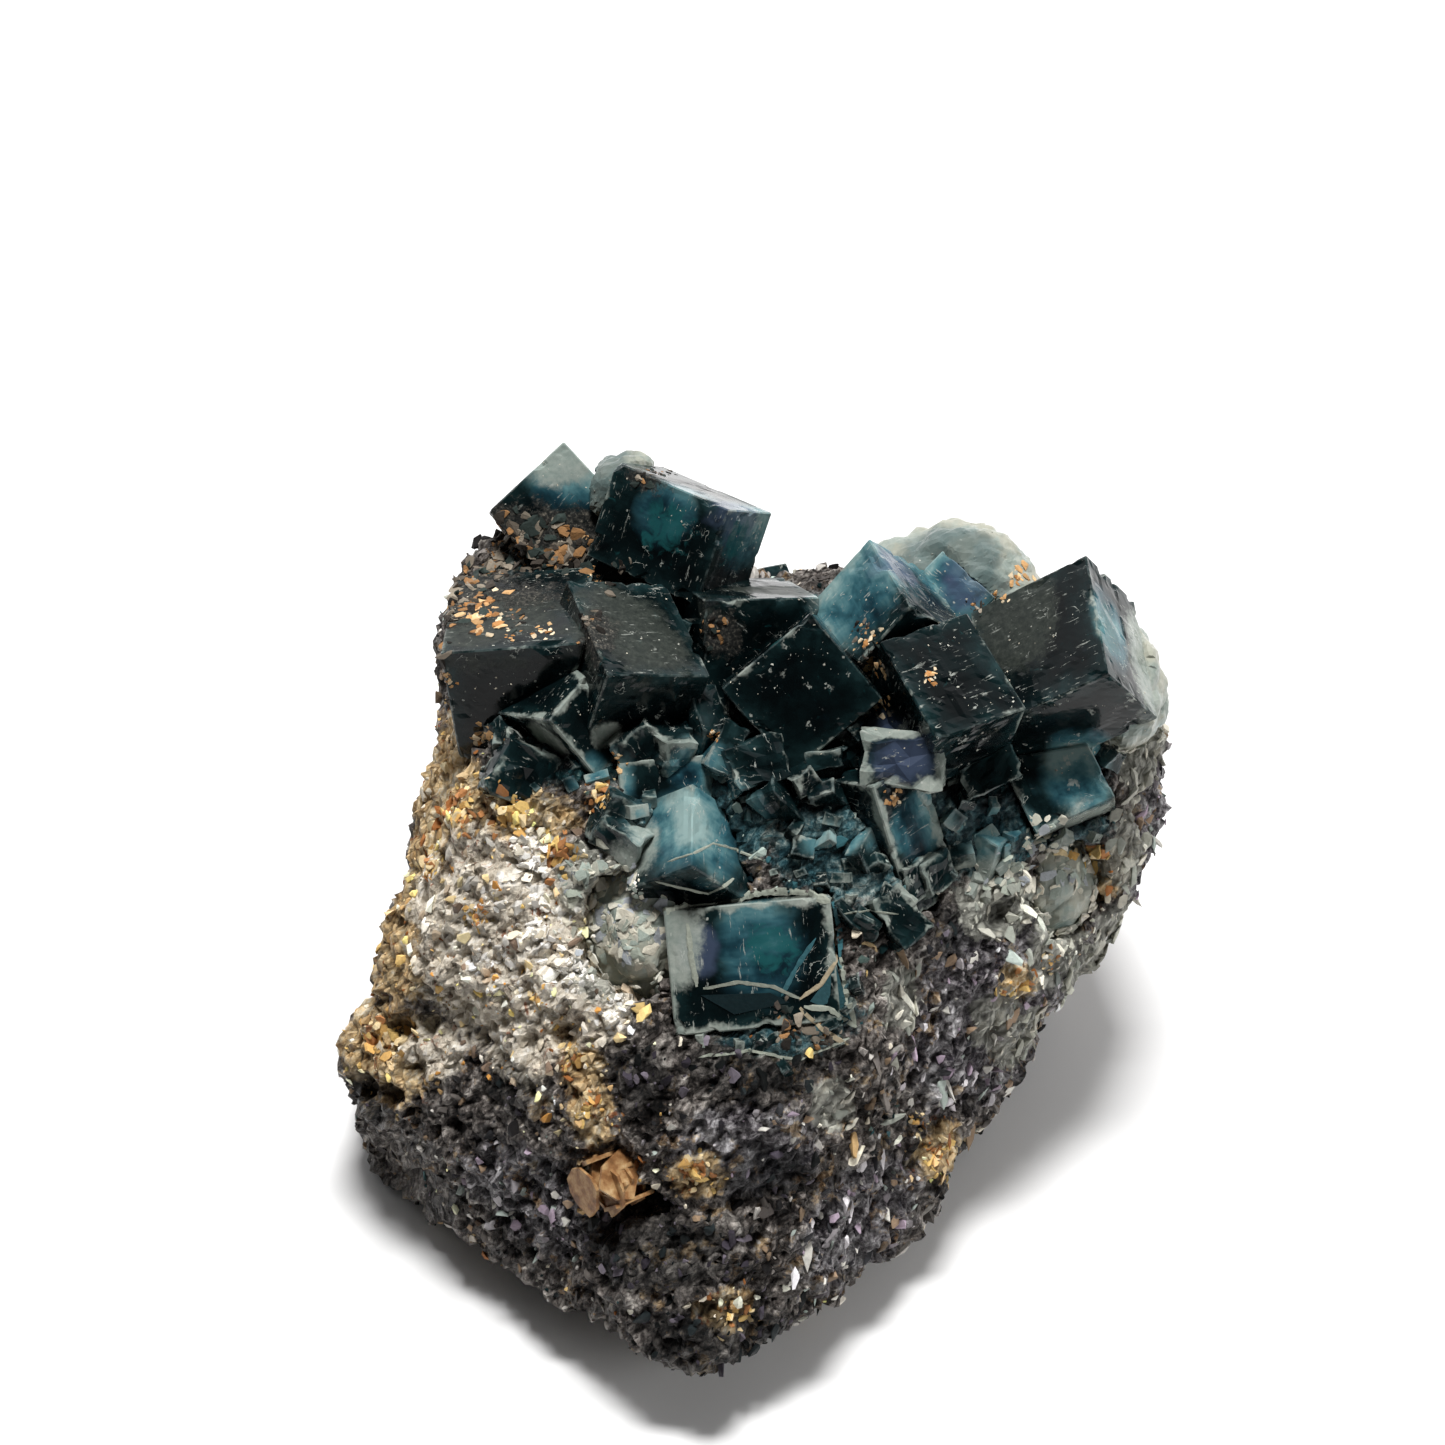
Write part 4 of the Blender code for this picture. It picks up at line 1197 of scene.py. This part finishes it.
def buildShell():
    # thin walls left where cubes have dissolved away
    random = np.random.default_rng(shell["seed"])
    turn = Euler([radians(a) for a in shell["turn"]]).to_matrix()
    shapes = []
    for axis in range(3):
        for plate in range(shell["plates"]):
            offset = (plate / (shell["plates"] - 1) - 0.5) * 1.7 * shell["reach"]
            middle = (random.random(2) - 0.5) * 1.6
            rim = []
            for corner in range(9):
                angle = radians(40 * corner + 20 * random.random())
                reach = shell["reach"] * (0.62 + 0.5 * random.random())
                rim.append((middle[0] + cos(angle) * reach, middle[1] + sin(angle) * reach))
            points = []
            for level in (-1, 1):
                for a, b in rim:
                    spot = [a, b]
                    spot.insert(axis, offset + level * shell["wall"] * (0.6 + 0.8 * random.random()))
                    points.append(turn @ Vector(spot) + Vector(shell["place"]))
            count = len(rim)
            faces = [list(range(count)), list(range(2 * count - 1, count - 1, -1))]
            faces += [[i, i + count, (i + 1) % count + count, (i + 1) % count] for i in range(count)]
            shapes.append((np.array(points), faces))
    mesh = joinShapes("shellWalls", shapes)
    tidy = bmesh.new()
    tidy.from_mesh(mesh)
    bmesh.ops.recalc_face_normals(tidy, faces=tidy.faces)
    tidy.to_mesh(mesh)
    tidy.free()
    return addPiece("shellWalls", mesh, shellPaint(), ["tan_shell_cluster"])


smallDruse = growDruse()
rockCrumbs = scatterCrumbs()
crystalTree = surfaceTree(cubes + masses + [smallDruse, hostRock])
faceGrit = sprinkle(crystalTree)
flankCrusts = layCrusts(crystalTree)
windowSeams = raiseSeams(crystalTree)
shellWalls = buildShell()
print("druse and crumbs grown,", len(smallDruse.data.polygons), len(rockCrumbs.data.polygons))


# light and floor
def buildStage():
    paint = Paint("paleFloor")
    mottle = paint.noise(0.02, 3.0)
    material = paint.finish(
        Base_Color=paint.mix(mottle, (0.86, 0.855, 0.85), (0.90, 0.895, 0.89)), Roughness=0.65
    )
    mesh = bpy.data.meshes.new("floor")
    side = 3.0
    corners = [(-side, -side, 0), (side, -side, 0), (side, side, 0), (-side, side, 0)]
    mesh.from_pydata(corners, [], [(0, 1, 2, 3)])
    mesh.materials.append(material)
    floor = bpy.data.objects.new("floor", mesh)
    scene.collection.objects.link(floor)
    for part in ("key", "fill"):
        lamp = bpy.data.lights.new(part, "AREA")
        lamp.shape = "RECTANGLE"
        lamp.size, lamp.size_y = (size * mm for size in light[part + "Size"])
        lamp.energy = light[part + "Power"]
        rig = bpy.data.objects.new(part, lamp)
        rig.location = Vector(light[part + "Place"]) * mm
        aim = Vector((0, 0, 0.03)) - rig.location
        rig.rotation_euler = aim.to_track_quat("-Z", "Y").to_euler()
        rig.visible_glossy = False
        scene.collection.objects.link(rig)
    world = bpy.data.worlds.new("studio")
    world.use_nodes = True
    tree = world.node_tree
    way = tree.nodes.new("ShaderNodeTexCoord")
    split = tree.nodes.new("ShaderNodeSeparateXYZ")
    ramp = tree.nodes.new("ShaderNodeValToRGB")
    tree.links.new(way.outputs["Generated"], split.inputs[0])
    lean = tree.nodes.new("ShaderNodeMapRange")
    lean.inputs[1].default_value = -1.0
    tree.links.new(split.outputs[1], lean.inputs[0])
    tree.links.new(lean.outputs[0], ramp.inputs[0])
    dark, bright = light["skyDark"], light["skyBright"]
    ramp.color_ramp.elements[0].position = 0.58
    ramp.color_ramp.elements[0].color = (dark, dark, dark, 1)
    ramp.color_ramp.elements[1].position = 0.84
    ramp.color_ramp.elements[1].color = (bright, bright, bright * 1.01, 1)
    tree.links.new(ramp.outputs[0], tree.nodes["Background"].inputs[0])
    scene.world = world
    scene.view_settings.view_transform = "Standard"
    scene.view_settings.exposure = light["exposure"]


buildStage()
print("stage set")
